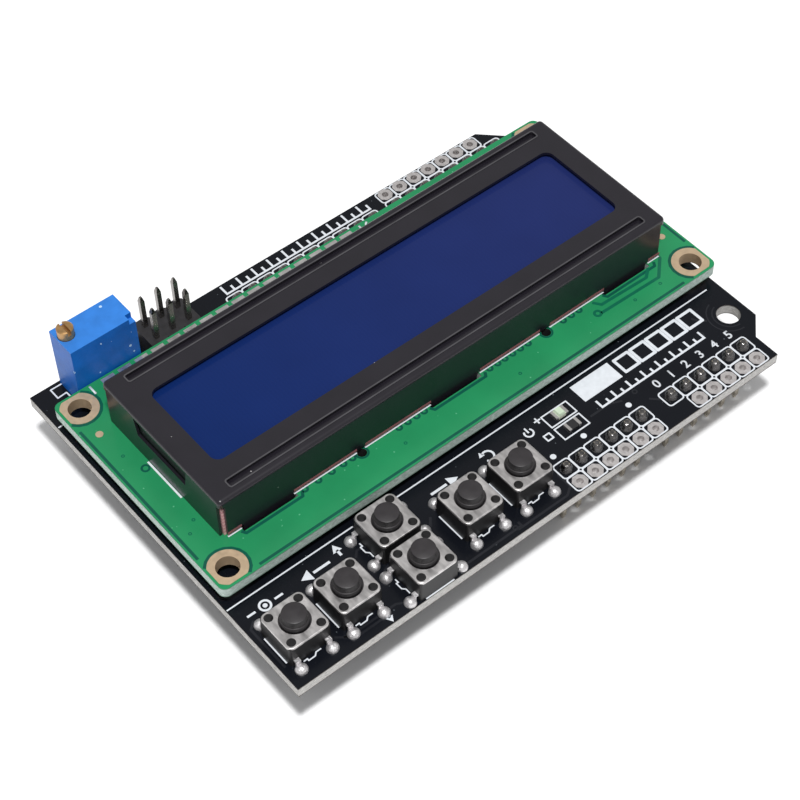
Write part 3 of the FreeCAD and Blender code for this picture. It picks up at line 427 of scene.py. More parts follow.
lampMiddle = sum(corner.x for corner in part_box("led_body")) / 2
ladderMiddle = sum(corner.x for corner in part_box("ladder_resistors")) / 2
looks = {
    "carrierMask": boardFinish("blackBoardMask", carrierLook, boardLow.z, boardHigh.z),
    "displayMask": boardFinish("greenBoardMask", displayLook, lcdLow.z, lcdHigh.z),
    "tinLand": metalFinish("dullTinnedLand", {"color": (0.82, 0.78, 0.77), "metal": 0.75, "low": 0.3,
                                              "high": 0.5, "darken": 0.55, "grain": 0.5, "grainScale": 2.0}),
    "stripPlastic": plainFinish("blackPinStrip", {"color": (0.012, 0.012, 0.013), "rough": 0.45, "gloss": 0.3,
                                                  "grain": 0.25, "grainScale": 6.0}),
    "blockPlastic": plainFinish("greyPinBlock", {"color": (0.026, 0.025, 0.027), "rough": 0.5, "gloss": 0.3,
                                                 "grain": 0.35, "grainScale": 4.0, "smudge": 0.5,
                                                 "smudgeScale": 0.8}),
    "goldPin": metalFinish("paleGoldPin", {"color": (0.64, 0.58, 0.48), "metal": 1.0, "low": 0.2, "high": 0.35}),
    "tinPin": metalFinish("greyTinnedPin", {"color": (0.42, 0.4, 0.38), "metal": 1.0, "low": 0.2, "high": 0.38,
                                            "darken": 0.45, "stretch": 1.0}),
    "solder": metalFinish("brightSolder", {"color": (0.86, 0.84, 0.85), "metal": 0.75, "low": 0.3, "high": 0.5,
                                           "darken": 0.6, "grain": 0.7, "grainScale": 1.2, "stretch": 1.0,
                                           "grainDepth": 0.0003}),
    # the solder on the stacking pins is coloured dark grey
    "darkSolder": metalFinish("darkGreyPinSolder", {"color": (0.3, 0.29, 0.29), "metal": 1.0, "low": 0.14,
                                                 "high": 0.34, "darken": 0.15, "grain": 0.6, "grainScale": 1.1,
                                                 "stretch": 1.0, "grainDepth": 0.0003}),
    "padSolder": metalFinish("meltedPadSolder", {"color": (0.88, 0.86, 0.84), "metal": 0.85, "low": 0.2,
                                                 "high": 0.4, "darken": 0.4, "grain": 0.5, "grainScale": 0.7,
                                                 "stretch": 1.0, "scratchScale": 0.6, "grainDepth": 0.0002}),
    "lampBody": chipFinish("whiteLampBody", {"color": (0.7, 0.72, 0.6), "rough": 0.35}, lampMiddle, 0.6),
    "lampLens": plainFinish("clearLampLens", {"color": (0.55, 0.66, 0.5), "rough": 0.12, "coat": 0.6,
                                              "coatRough": 0.08, "grain": 0.05, "smudge": 0.3}),
    "chipBody": chipFinish("blackChipBody", {"color": (0.02, 0.02, 0.022), "rough": 0.35}, lampMiddle, 0.6),
    "ladderBody": chipFinish("blackLadderChip", {"color": (0.02, 0.02, 0.022), "rough": 0.35}, ladderMiddle, 0.6),
    "packagePlastic": plainFinish("blackPackage", {"color": (0.02, 0.02, 0.02), "rough": 0.4, "grain": 0.3}),
    "trimmerCase": trimmerFinish(),
    "brass": metalFinish("turnedBrass", {"color": (0.62, 0.37, 0.16), "metal": 0.85, "low": 0.3, "high": 0.5,
                                         "darken": 0.6, "grain": 0.5, "grainScale": 2.5, "stretch": 1.0}),
    "switchBase": plainFinish("blackSwitchBase", {"color": (0.011, 0.0105, 0.011), "rough": 0.42, "gloss": 0.3,
                                                  "grain": 0.3,
                                                  "grainScale": 3.0, "smudge": 0.35}),
    # the cover's dark and pale streaks are partly brushing and partly painted reflection
    "switchCover": metalFinish("pressedSteelCover", {"color": (0.95, 0.92, 0.91), "metal": 1.0, "low": 0.3,
                                                     "high": 0.5, "darken": 0.36, "stretch": 3.0,
                                                     "scratchScale": 0.5, "grain": 0.3, "grainScale": 3.0}),
    # the cap's walls are painted darker than its top: painted shade
    "keyCap": plainFinish("charcoalKeyCap", {"color": (0.031, 0.028, 0.03), "side": (0.011, 0.01, 0.011),
                                             "rough": 0.42, "gloss": 0.35,
                                             "grain": 0.35,
                                             "grainScale": 7.0, "smudge": 0.35, "smudgeScale": 0.9,
                                             "grainDepth": 0.00003}),
    "ringPlating": metalFinish("paleGoldRing", {"color": (0.66, 0.5, 0.33), "metal": 0.6, "low": 0.4,
                                                "high": 0.6, "darken": 0.85, "grain": 0.35, "grainScale": 3.0,
                                                "stretch": 1.0}),
    "chipResin": plainFinish("blackResin", {"color": (0.012, 0.012, 0.012), "rough": 0.25, "grain": 0.3}),
    "framePaint": plainFinish("blackFramePaint", {"color": (0.011, 0.0095, 0.0142), "rough": 0.3, "gloss": 0.5,
                                                  "grain": 0.12, "grainScale": 5.0, "smudge": 0.25,
                                                  "smudgeScale": 0.2, "dustColor": (0.35, 0.34, 0.34),
                                                  "dustScale": 0.4, "dustSize": 0.04}),
    # the bead is painted lighter than the frame: painted highlight
    "frameBead": plainFinish("paintedHighlightFrameBead", {"color": (0.06, 0.058, 0.064), "rough": 0.3, "gloss": 0.5,
                                                 "grain": 0.12, "grainScale": 5.0, "smudge": 0.4}),
    "contactStrip": contactStripFinish(),
    "stripFoot": plainFinish("shadedContactStrip", {"color": (0.27, 0.095, 0.11), "rough": 0.5, "gloss": 0.3,
                                                   "grain": 0.2}),
    "lightPanel": plainFinish("shadedLightPanel", {"color": (0.012, 0.02, 0.018), "rough": 0.4, "grain": 0.1,
                                                   "gloss": 0.2}),
    "displayGlass": displayGlassFinish(),
    "whitePrint": plainFinish("whitePrintInk", {"color": (0.66, 0.69, 0.73), "rough": 0.5, "grain": 0.25,
                                                "grainScale": 5.0, "smudge": 0.12, "smudgeScale": 1.5}),
    "blackTrace": plainFinish("maskOverTrace", {"color": (0.014, 0.015, 0.019), "rough": 0.24, "gloss": 0.25,
                                                "grain": 0.1}),
    "tealTrace": plainFinish("tealMaskOverTrace", {"color": (0.004, 0.085, 0.055), "rough": 0.25, "gloss": 0.25,
                                                   "grain": 0.1, "smudge": 0.3}),
    "paleTrace": plainFinish("greenMaskOverTrace", {"color": (0.005, 0.12, 0.065), "rough": 0.25, "gloss": 0.25,
                                                    "grain": 0.1, "smudge": 0.2}),
}

nodeLooks = {
    "shield_board": "carrierMask", "breakout_pads": "tinLand", "power_header": "stripPlastic",
    "analog_header": "stripPlastic", "digital_low_header": "stripPlastic", "digital_high_header": "stripPlastic",
    "header_pins": "goldPin", "icsp_header": "blockPlastic", "icsp_pins": "tinPin", "led_body": "lampBody",
    "led_lens": "lampLens", "led_resistor": "chipBody", "ladder_resistors": "ladderBody",
    "backlight_transistor": "packagePlastic", "trimmer_body": "trimmerCase", "trimmer_screw": "brass",
    "trimmer_leads": "solder", "lcd_board": "displayMask", "lcd_rings": "ringPlating",
    "lcd_bezel": "framePaint", "lcd_glass": "displayGlass", "zebra_near": "contactStrip",
    "zebra_far": "contactStrip", "backlight_panel": "lightPanel", "lcd_chips": "chipResin",
    "lcd_header": "stripPlastic", "lcd_header_pins": "padSolder",
}
for key in keys:
    nodeLooks.update({key + "_base": "switchBase", key + "_plate": "switchCover", key + "_plunger": "keyCap",
                      key + "_dome": "switchCover", key + "_legs": "solder"})
for name, node in nodes.items():
    node.data.materials.clear()
    node.data.materials.append(looks[nodeLooks[name]])
print("materials on", len(nodes), "nodes")


# Modelling helpers. A stroke starts as a flat primitive in edit mode, and finishPiece gives it thickness.
layerStep = 0.004


def startPiece(name):
    bpy.ops.object.select_all(action="DESELECT")
    bpy.ops.mesh.primitive_plane_add(size=mm)
    piece = bpy.context.active_object
    piece.name = name
    bpy.ops.object.mode_set(mode="EDIT")
    bpy.ops.mesh.select_all(action="SELECT")
    bpy.ops.mesh.delete(type="VERT")
    return piece


def addBar(start, end, wide):
    # a straight flat stroke
    middle = (start + end) / 2
    run = end - start
    bpy.ops.mesh.primitive_plane_add(size=1, location=middle)
    bpy.ops.transform.resize(value=(run.length, wide * mm, 1), center_override=middle)
    bpy.ops.transform.rotate(value=-math.atan2(run.y, run.x), orient_axis="Z", center_override=middle)


def addStroke(points, wide, closed=False):
    # joined strokes with a round spot on each bend
    pairs = list(zip(points, points[1:]))
    if closed:
        pairs.append((points[-1], points[0]))
    # crossing strokes lie a hair apart in height, so that no two tops share a plane
    for place, (start, end) in enumerate(pairs):
        hair = Vector((0, 0, layerStep * (place % 2) * mm))
        addBar(start + hair, end + hair, wide)
    spots = points if closed else points[1:-1]
    for spot in spots:
        bpy.ops.mesh.primitive_circle_add(vertices=12, radius=wide * mm / 2, fill_type="NGON",
                                          location=spot - Vector((0, 0, layerStep * mm)))


def addRing(middle, radius, wide, sides=32):
    bpy.ops.mesh.select_all(action="DESELECT")
    bpy.ops.mesh.primitive_circle_add(vertices=sides, radius=radius * mm, fill_type="NGON", location=middle)
    bpy.ops.mesh.inset(thickness=wide * mm)
    bpy.ops.mesh.delete(type="FACE")


def addDisc(middle, radius, sides=24):
    bpy.ops.mesh.primitive_circle_add(vertices=sides, radius=radius * mm, fill_type="NGON", location=middle)


def addArrowHead(middle, size, turn):
    bpy.ops.mesh.primitive_circle_add(vertices=3, radius=size * mm, fill_type="NGON", location=middle)
    bpy.ops.transform.rotate(value=-turn, orient_axis="Z", center_override=middle)


def finishPiece(piece, look, body="board", thick=0.02):
    bpy.ops.object.mode_set(mode="OBJECT")
    if thick:
        bpy.ops.object.modifier_add(type="SOLIDIFY")
        wall = piece.modifiers[-1]
        wall.thickness = thick * mm
        wall.offset = 1
        bpy.ops.object.modifier_apply(modifier=wall.name)
    bpy.ops.object.transform_apply(location=True, rotation=True, scale=True)
    piece.data.materials.clear()
    piece.data.materials.append(looks[look])
    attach(piece, body)
    return piece


def joinInto(piece, others):
    bpy.ops.object.select_all(action="DESELECT")
    for other in others:
        other.select_set(True)
    piece.select_set(True)
    bpy.context.view_layer.objects.active = piece
    bpy.ops.object.join()
    return piece


def turnProfile(name, place, profile, sides, smooth):
    # a closed round piece, extruded ring by ring up its axis; the profile is radius and height in millimetres
    bpy.ops.object.select_all(action="DESELECT")
    bpy.ops.mesh.primitive_circle_add(vertices=sides, radius=profile[0][0] * mm, fill_type="NGON",
                                      location=place + Vector((0, 0, profile[0][1] * mm)))
    piece = bpy.context.active_object
    piece.name = name
    bpy.ops.object.mode_set(mode="EDIT")
    bpy.ops.mesh.select_all(action="SELECT")
    for (wide, low), (narrow, high) in zip(profile, profile[1:]):
        bpy.ops.mesh.extrude_region_move(TRANSFORM_OT_translate={"value": (0, 0, (high - low) * mm)})
        bpy.ops.transform.resize(value=(narrow / wide, narrow / wide, 1), center_override=place)
    bpy.ops.mesh.select_all(action="SELECT")
    bpy.ops.mesh.normals_make_consistent(inside=False)
    bpy.ops.object.mode_set(mode="OBJECT")
    bpy.ops.object.transform_apply(location=True, rotation=True, scale=True)
    bpy.ops.object.shade_smooth_by_angle(angle=math.radians(smooth))
    return piece


def copyPiece(source, shift, name):
    # a copy with its own mesh, moved by shift
    bpy.ops.object.select_all(action="DESELECT")
    source.select_set(True)
    bpy.context.view_layer.objects.active = source
    bpy.ops.object.duplicate(linked=False)
    bpy.ops.transform.translate(value=shift)
    bpy.ops.object.transform_apply(location=True, rotation=True, scale=True)
    piece = bpy.context.active_object
    piece.name = name
    return piece


def addDigits(text, middle, tall, turn=0.0):
    # a plain number, made a flat mesh
    bpy.ops.object.select_all(action="DESELECT")
    bpy.ops.object.text_add(location=middle, rotation=(0, 0, turn))
    word = bpy.context.active_object
    word.data.body = text
    word.data.size = tall * mm * 1.4
    word.data.align_x = "CENTER"
    word.data.align_y = "CENTER"
    word.data.offset = 0.035 * mm
    bpy.ops.object.convert(target="MESH")
    bpy.ops.object.transform_apply(location=True, rotation=True, scale=True)
    return word


# White print on the carrier board, in host millimetres.
boardPrint = {
    "stroke": 0.2, "cellLine": 0.2, "cellCut": 0.5, "lift": 0.012,
    "longLine": [((-11.2, 12.5), (7.56, 12.5)), ((14.28, 12.5), (66.9, 12.5))],
    "tick": [(-11.2, 48.05), (-10.4, 48.05)],
    "trimmerLine": [(-6.7, 53.8), (-8.6, 53.8), (-8.6, 52.1), (-7.25, 52.2), (-7.2, 51.2)],
    "lampBoxes": [(35.95, 8.35, 40.1, 10.45), (35.95, 5.9, 40.05, 7.95)],
    "plate": (41.95, 8.75, 48.35, 11.75), "fields": (49.2, 9.05, 5, 2.8, 2.35),
    "nearRule": (43.0, 6.75, 15, 1.27, 1.25), "farRule": (18.3, 52.55, 20, 1.27, 1.6),
    "cells": [(33.02, 2.54, 6), (33.02, 0.0, 6), (50.8, 2.54, 6), (53.34, 0.0, 5),
              (45.72, 53.34, 7), (45.72, 50.8, 8), (18.8, 50.8, 10)],
    "edgeTrim": {0.0: (1, 0.14), 53.34: (-1, 0.3)},
    "switchSide": (3.03, 2.15), "contactWide": 0.17,
    "contact": [(-1.42, -3.22), (-0.86, -3.18), (-0.88, -3.48), (0.08, -3.46), (0.46, -3.1), (1.2, -3.1)],
}


def printLift(point):
    return point + Vector((0, 0, boardPrint["lift"] * mm))


def inkAt(x, y):
    return printLift(onHost(x, y))


# Signs that stand where words would be: arrows, a dot in a ring, a turned arrow, a plus, a power sign, a square.
boardSigns = {
    "flatArrows": [(0.4, 10.25, math.pi), (19.7, 10.1, 0.0)], "flatReach": 1.9, "flatHead": 0.95,
    "tallArrows": [(3.95, 10.85, 0.0, 1.0), (2.8, -0.3, math.pi, 0.75)], "tallHead": 0.75, "arrowWide": 0.36,
    "target": (-7.3, 10.25), "targetRadius": 0.85, "targetWide": 0.28, "targetDot": 0.3,
    "dashes": [((-9.9, 10.25), (-8.7, 10.25)), ((-5.9, 10.25), (-4.7, 10.25))], "dashWide": 0.3,
    "turned": (27.0, 10.15), "turnedRadius": 0.78, "turnedWide": 0.28, "turnedHead": (26.35, 10.75),
    "plus": [((34.75, 10.38), (35.75, 10.38)), ((35.25, 9.88), (35.25, 10.24)), ((35.25, 10.52), (35.25, 10.88))],
    "power": (33.2, 9.6), "powerRadius": 0.62, "powerWide": 0.24, "powerTall": 0.9,
    "square": [(34.2, 7.1), (35.1, 7.1), (35.1, 8.0), (34.2, 8.0)], "thin": 0.22,
}


def openRing(middle, radius, start, step):
    x, y = middle
    return [inkAt(x + radius * math.cos(a), y + radius * math.sin(a))
            for a in [math.radians(start + step * k) for k in range(11)]]


def addSigns():
    signs = boardSigns
    for x, y, turn in signs["flatArrows"]:
        reach = signs["flatReach"] if turn == 0.0 else -signs["flatReach"]
        addBar(inkAt(x - reach, y), inkAt(x + reach * 0.3, y), signs["arrowWide"])
        addArrowHead(inkAt(x + reach * 0.75, y), signs["flatHead"], turn - math.pi / 2)
    for x, y, turn, tall in signs["tallArrows"]:
        way = tall if turn == 0.0 else -tall
        addBar(inkAt(x, y - 0.75 * way), inkAt(x, y + 0.2 * way), signs["arrowWide"])
        addArrowHead(inkAt(x, y + 0.35 * way), signs["tallHead"] * tall, turn)
    addRing(inkAt(*signs["target"]), signs["targetRadius"], signs["targetWide"])
    addDisc(inkAt(*signs["target"]), signs["targetDot"])
    for start, end in signs["dashes"]:
        addBar(inkAt(*start), inkAt(*end), signs["dashWide"])
    addStroke(openRing(signs["turned"], signs["turnedRadius"], 130, -27), signs["turnedWide"])
    addArrowHead(inkAt(*signs["turnedHead"]), 0.5, math.radians(120))
    for start, end in signs["plus"]:
        addBar(inkAt(*start), inkAt(*end), signs["thin"])
    x, y = signs["power"]
    addStroke(openRing(signs["power"], signs["powerRadius"], 135, 27), signs["powerWide"])
    addBar(inkAt(x, y), inkAt(x, y + signs["powerTall"]), signs["powerWide"])
    addStroke([inkAt(*corner) for corner in signs["square"]], signs["thin"], closed=True)


def makeBoardPrint():
    piece = startPiece("board_print")
    wide = boardPrint["stroke"]
    for start, end in boardPrint["longLine"]:
        addBar(inkAt(*start), inkAt(*end), wide)
    addStroke([inkAt(*p) for p in boardPrint["tick"]], 0.2)
    addStroke([inkAt(*p) for p in boardPrint["trimmerLine"]], wide)
    for x0, y0, x1, y1 in boardPrint["lampBoxes"]:
        addStroke([inkAt(x0, y0), inkAt(x1, y0), inkAt(x1, y1), inkAt(x0, y1)], wide, closed=True)
    x0, y0, x1, y1 = boardPrint["plate"]
    addBar(inkAt(x0, (y0 + y1) / 2), inkAt(x1, (y0 + y1) / 2), y1 - y0)
    # a row of empty fields to write in, and two plain scales
    left, low, count, step, side = boardPrint["fields"]
    for k in range(count):
        x = left + k * step
        addStroke([inkAt(x, low), inkAt(x + side, low), inkAt(x + side, low + side), inkAt(x, low + side)], 0.42,
                  closed=True)
    for rule in ("nearRule", "farRule"):
        left, low, count, step, tall = boardPrint[rule]
        addBar(inkAt(left - 0.15, low), inkAt(left + (count - 1) * step + 0.15, low), 0.3)
        for k in range(count):
            high = tall if k % 2 == 0 else tall * 0.6
            hair = Vector((0, 0, layerStep * mm))
            addBar(inkAt(left + k * step, low) + hair, inkAt(left + k * step, low + high) + hair, 0.3)
    # switch outlines: two side lines and the contact sign between the near legs
    for key, (legs, place) in keys.items():
        x = place[0] - 11.3
        y = place[1] - 1.25
        flip = legs == "legsAlong"

        def turned(a, b):
            return inkAt(x + b, y - a) if flip else inkAt(x + a, y + b)
        out, reach = boardPrint["switchSide"]
        for side in (-out, out):
            addBar(turned(side, -reach), turned(side, reach), wide)
        for side in (-1, 1):
            addStroke([turned(a * side, b * side) for a, b in boardPrint["contact"]], boardPrint["contactWide"])
    # pad cells: rounded squares on the pin grid
    bpy.ops.mesh.select_all(action="DESELECT")
    for startX, row, count in boardPrint["cells"]:
        for step in range(count):
            odd = (round((startX - 33.02) / pitch) + step + round(row / pitch)) % 2
            middle = inkAt(startX + step * pitch, row) + Vector((0, 0, layerStep * odd * mm))
            bpy.ops.mesh.primitive_plane_add(size=(pitch + 0.12) * mm, location=middle)
            if row in boardPrint["edgeTrim"]:
                # the outer cells stop just inside the board's edge
                way, trim = boardPrint["edgeTrim"][row]
                hold = middle + Vector((0, way * (pitch + 0.12) / 2 * mm, 0))
                bpy.ops.transform.resize(value=(1, 1 - trim / (pitch + 0.12), 1), center_override=hold)
            bpy.ops.mesh.bevel(offset=boardPrint["cellCut"] * mm, segments=3, affect="VERTICES")
            bpy.ops.mesh.inset(thickness=boardPrint["cellLine"] * mm)
            bpy.ops.mesh.delete(type="FACE")
    addSigns()
    # small dots that name pins of the supply row
    for x in (33.02, 38.1, 45.72):
        addDisc(inkAt(x, 4.9), 0.4)
    bpy.ops.object.mode_set(mode="OBJECT")
    words = [addDigits(str(k), inkAt(50.8 + pitch * k, 5.1), 1.3) for k in range(6)]
    joinInto(piece, words)
    bpy.ops.object.mode_set(mode="EDIT")
    return finishPiece(piece, "whitePrint", thick=0.02)


boardInk = makeBoardPrint()
print("board print", len(boardInk.data.polygons), "faces")

# Print, traces and marks on the display board, in millimetres from its near left corner.
lcdPrint = {
    "stroke": 0.26, "lift": 0.012,
    "nearLines": [(5.1, 7.1), (14.9, 24.5), (25.8, 36.2), (44.2, 54.2), (55.9, 65.25), (73.1, 75.1)],
    "nearY": 5.97, "sideLine": ((4.22, 14.15), (4.22, 21.2)),
    "numbers": [("1", 5.4, 34.85), ("16", 49.0, 34.8)],
    "traces": [[(62.6, 3.45), (72.5, 3.2), (75.0, 5.6), (75.0, 7.4)],
               [(62.9, 5.5), (63.6, 4.5), (71.2, 4.2), (72.6, 5.3)]],
    "via": (62.2, 3.7),
    "bumps": [16.3, 18.35, 20.4, 22.2, 23.6, 30.9, 32.3, 33.7, 34.9, 45.6, 46.9, 48.1, 49.4, 50.7, 52.0,
              58.0, 59.4, 60.7],
}


reliefHoles = [(25.0, 5.575), (55.0, 5.575)]    # beside the frame's near wall


def onMask(x, y, lift=lcdPrint["lift"]):
    return onLcd(x, y) + Vector((0, 0, lift * mm))


def makeLcdPrint():
    piece = startPiece("display_print")
    for start, end in lcdPrint["nearLines"]:
        addBar(onMask(start, lcdPrint["nearY"]), onMask(end, lcdPrint["nearY"]), lcdPrint["stroke"])
    start, end = lcdPrint["sideLine"]
    addBar(onMask(*start), onMask(*end), 0.26)
    bpy.ops.object.mode_set(mode="OBJECT")
    words = [addDigits(text, onMask(x, y), 1.5) for text, x, y in lcdPrint["numbers"]]
    joinInto(piece, words)
    bpy.ops.object.mode_set(mode="EDIT")
    return finishPiece(piece, "whitePrint", thick=0.02)


darkMask = {
    "lift": 0.004, "bandWide": 0.38, "bumpY": 5.68, "bumpRadius": 0.52, "bumpWide": 0.3,
    "bands": [((5.6, 0.45), (74.4, 0.45)), ((0.45, 5.6), (0.45, 30.4)), ((79.55, 5.6), (79.55, 30.4))],
    "holeRadius": 0.95, "holeWide": 0.26,
    "tabs": [(7.0, 15.6), (36.0, 44.5), (65.0, 73.6)], "tabWide": 0.4, "tabBack": 5.6, "tabFront": 5.0,
    "ring": (3.45, 20.6), "ringLift": 0.006, "ringRadius": 0.62, "ringWide": 0.28,
    "corners": [(2.5, 2.5, 0), (77.5, 2.5, 90), (77.5, 33.5, 180), (2.5, 33.5, 270)],
    "collarRadius": 2.72, "collarWide": 0.42, "collarStart": -55, "collarStep": 20, "collarPoints": 11,
}


def makeLcdTraces():
    # dark bands along the edges, bumps beside the frame, lines round its tabs and collars round the rings
    piece = startPiece("display_dark_mask")
    lift = darkMask["lift"]
    for start, end in darkMask["bands"]:
        addBar(onMask(*start, lift=lift), onMask(*end, lift=lift), darkMask["bandWide"])
    for x in lcdPrint["bumps"]:
        addRing(onMask(x, darkMask["bumpY"], lift), darkMask["bumpRadius"], darkMask["bumpWide"], 14)
    for x, y in reliefHoles:
        addRing(onMask(x, y, lift), darkMask["holeRadius"], darkMask["holeWide"], 20)
    for x0, x1 in darkMask["tabs"]:
        back, front = darkMask["tabBack"], darkMask["tabFront"]
        addStroke([onMask(x0 - 0.25, back, lift), onMask(x0 + 0.1, front, lift),
                   onMask(x1 - 0.1, front, lift), onMask(x1 + 0.25, back, lift)], darkMask["tabWide"])
    addRing(onMask(*darkMask["ring"], darkMask["ringLift"]), darkMask["ringRadius"], darkMask["ringWide"], 20)
    for x, y, turn in darkMask["corners"]:
        angles = [math.radians(turn + darkMask["collarStart"] + darkMask["collarStep"] * k)
                  for k in range(darkMask["collarPoints"])]
        radius = darkMask["collarRadius"]
        addStroke([onMask(x + radius * math.cos(a), y + radius * math.sin(a), lift) for a in angles],
                  darkMask["collarWide"])
    return finishPiece(piece, "tealTrace", thick=0.01)


def makeLcdLines():
    piece = startPiece("display_traces")
    for line in lcdPrint["traces"]:
        addStroke([onMask(x, y, 0.006) for x, y in line], 0.44)
    addRing(onMask(*lcdPrint["via"], 0.006), 0.62, 0.36, 20)
    for x, y in ((1.9, 9.2), (2.4, 23.9), (3.4, 10.6), (71.9, 2.3), (67.45, 2.3), (30.0, 3.3), (48.0, 2.6)):
        addRing(onMask(x, y, 0.006), 0.24, 0.12, 14)
    return finishPiece(piece, "paleTrace", thick=0.014)


def makeMarks():
    piece = startPiece("display_mark_dots")
    for x, y in ((2.1, 28.55), (77.8, 8.2)):
        addDisc(onMask(x, y), 0.5)
    return finishPiece(piece, "ringPlating", thick=0.03)


frameTrim = {
    "beadInset": 1.75, "beadHalf": 0.73, "beadEnd": 2.47, "beadCorner": 0.4, "beadWide": 0.19, "beadTall": 0.06,
    "lipLow": 0.45, "lipTall": 0.38, "lipOut": 0.012, "lipWide": 0.03,
}


def makeFrameLip():
    # the frame wall's lower lip between its tabs, where it shows the pink of the contact strip
    piece = startPiece("frame_lower_lip")
    y = (bezelLow.y - lcdOrigin[1]) / mm - frameTrim["lipOut"]
    for start, end in lcdPrint["nearLines"]:
        addBar(onMask(start, y, frameTrim["lipLow"]), onMask(end, y, frameTrim["lipLow"]), frameTrim["lipWide"])
    return finishPiece(piece, "stripFoot", thick=frameTrim["lipTall"])


def makeFrameBeads():
    # the pressed bead that runs round each groove in the frame's top, painted lighter than the frame as a painted
    # highlight
    piece = startPiece("frame_beads")
    long = bezelHigh.x - bezelLow.x - 2 * frameTrim["beadEnd"] * mm
    wide = 2 * frameTrim["beadHalf"] * mm
    inset = frameTrim["beadInset"] * mm
    for y in (bezelLow.y + inset, bezelHigh.y - inset):
        middle = Vector(((bezelLow.x + bezelHigh.x) / 2, y, bezelHigh.z))
        bpy.ops.mesh.select_all(action="DESELECT")
        bpy.ops.mesh.primitive_plane_add(size=1, location=middle)
        bpy.ops.transform.resize(value=(long, wide, 1), center_override=middle)
        bpy.ops.mesh.bevel(offset=frameTrim["beadCorner"] * mm, segments=5, affect="VERTICES")
        bpy.ops.mesh.inset(thickness=frameTrim["beadWide"] * mm)
        bpy.ops.mesh.delete(type="FACE")
    return finishPiece(piece, "frameBead", thick=frameTrim["beadTall"])


def makeHoleLinings():
    # dark sheets on the walls of the two relief holes beside the frame: painted shade
    piece = startPiece("relief_hole_shade_linings")
    tall = lcdHigh.z - lcdLow.z
    for x, y in reliefHoles:
        bpy.ops.mesh.primitive_cylinder_add(vertices=24, radius=0.645 * mm, depth=tall, end_fill_type="NOTHING",
                                            location=onLcd(x, y) - Vector((0, 0, tall / 2)))
    return finishPiece(piece, "packagePlastic", thick=0.004)


makeLcdPrint()
makeFrameLip()
makeFrameBeads()
makeHoleLinings()
makeLcdTraces()
makeLcdLines()
makeMarks()
print("display print and traces done")

# Raised traces on the carrier board.
boardTraces = {
    "wide": 0.32,
    "lines": [
        [(-3.8, 1.6), (-2.6, 0.6), (4.5, 0.6), (6.4, -0.4)], [(-2.9, 1.0), (-1.7, 0.0), (3.4, 0.0)],
        [(5.2, 3.6), (6.0, 4.9), (7.4, 5.4)], [(5.0, 8.7), (5.8, 9.5), (7.2, 9.2)],
        [(-1.2, 8.2), (-3.4, 8.7), (-3.9, 9.7)], [(13.2, 6.0), (14.8, 6.6), (15.6, 7.6)],
        [(23.2, 0.3), (23.2, -0.4), (14.2, -0.4)], [(31.6, 2.5), (31.6, 0.2), (30.4, -0.6), (22.5, -0.6)],
        [(40.8, 6.6), (44.0, 6.6), (45.6, 5.9)], [(48.4, 4.0), (49.4, 3.0)],
        [(61.8, 10.2), (62.3, 9.2), (63.1, 8.6)], [(-10.6, 2.0), (-10.6, 8.6), (-9.6, 9.4)],
    ],
    "vias": [(22.4, -0.2), (36.0, 3.4), (12.9, 10.6), (30.3, 8.7), (47.8, 6.0), (60.9, 7.4)],
}


def makeBoardTraces():
    piece = startPiece("board_traces")
    for line in boardTraces["lines"]:
        addStroke([onHost(x, y) + Vector((0, 0, 0.003 * mm)) for x, y in line], boardTraces["wide"])
    for x, y in boardTraces["vias"]:
        addRing(onHost(x, y) + Vector((0, 0, 0.003 * mm)), 0.4, 0.2, 18)
    # two raised arcs on the inner side of the bolt hole
    for radius in (2.15, 2.9):
        addStroke([onHost(66.04 + radius * math.cos(a), 7.62 + radius * math.sin(a)) + Vector((0, 0, 0.003 * mm))
                   for a in [math.radians(105 + 15 * k) for k in range(12)]], 0.2)
    return finishPiece(piece, "blackTrace", thick=0.006)


makeBoardTraces()


# Solder on the stacking pins. One joint is modelled and the rest are copies.
pinSolder = {
    "rows": [(33.02, 2.54, 6), (50.8, 2.54, 6), (45.72, 50.8, 8), (18.8, 50.8, 10)],
    "profile": [(0.93, 0.0), (0.865, 0.163), (0.744, 0.428), (0.614, 0.734), (0.465, 0.938), (0.26, 1.02)],
    "sides": 20, "smooth": 50,
}


def makePinSolder():
    places = [onHost(startX + pitch * step, row)
              for startX, row, count in pinSolder["rows"] for step in range(count)]
    joint = turnProfile("pin_solder", places[0], pinSolder["profile"], pinSolder["sides"], pinSolder["smooth"])
    copies = [copyPiece(joint, place - places[0], "pin_solder_copy") for place in places[1:]]
    piece = joinInto(joint, copies)
    return finishPiece(piece, "darkSolder", thick=0)


makePinSolder()
print("solder done")

# Key caps: a round collar and a tapered cap, turned once and copied, each on its own body.
keyCap = {
    "profile": [(1.0, 1.45), (1.0, 2.57), (2.2, 2.57), (2.2, 3.17), (1.78, 3.17), (1.76, 3.94), (1.71, 4.04),
                (1.6, 4.1), (1.53, 4.92), (1.49, 5.01), (1.42, 5.05)],
    "sides": 48, "smooth": 35,
}


def makeKeyCaps():
    first = next(iter(keys))
    caps = {first: turnProfile(first + "_cap", keyMiddle(first), keyCap["profile"], keyCap["sides"],
                               keyCap["smooth"])}
    for key in keys:
        if key != first:
            caps[key] = copyPiece(caps[first], keyMiddle(key) - keyMiddle(first), key + "_cap")
    for key, cap in caps.items():
        bpy.ops.object.select_all(action="DESELECT")
        cap.select_set(True)
        bpy.context.view_layer.objects.active = cap
        finishPiece(cap, "keyCap", body=key + "_key", thick=0)
        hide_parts(key + "_plunger")


makeKeyCaps()
print("key caps done")

# each snap dome gets its own copy of its mesh
for key in keys:
    dome = nodes[key + "_dome"]
    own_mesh(dome)

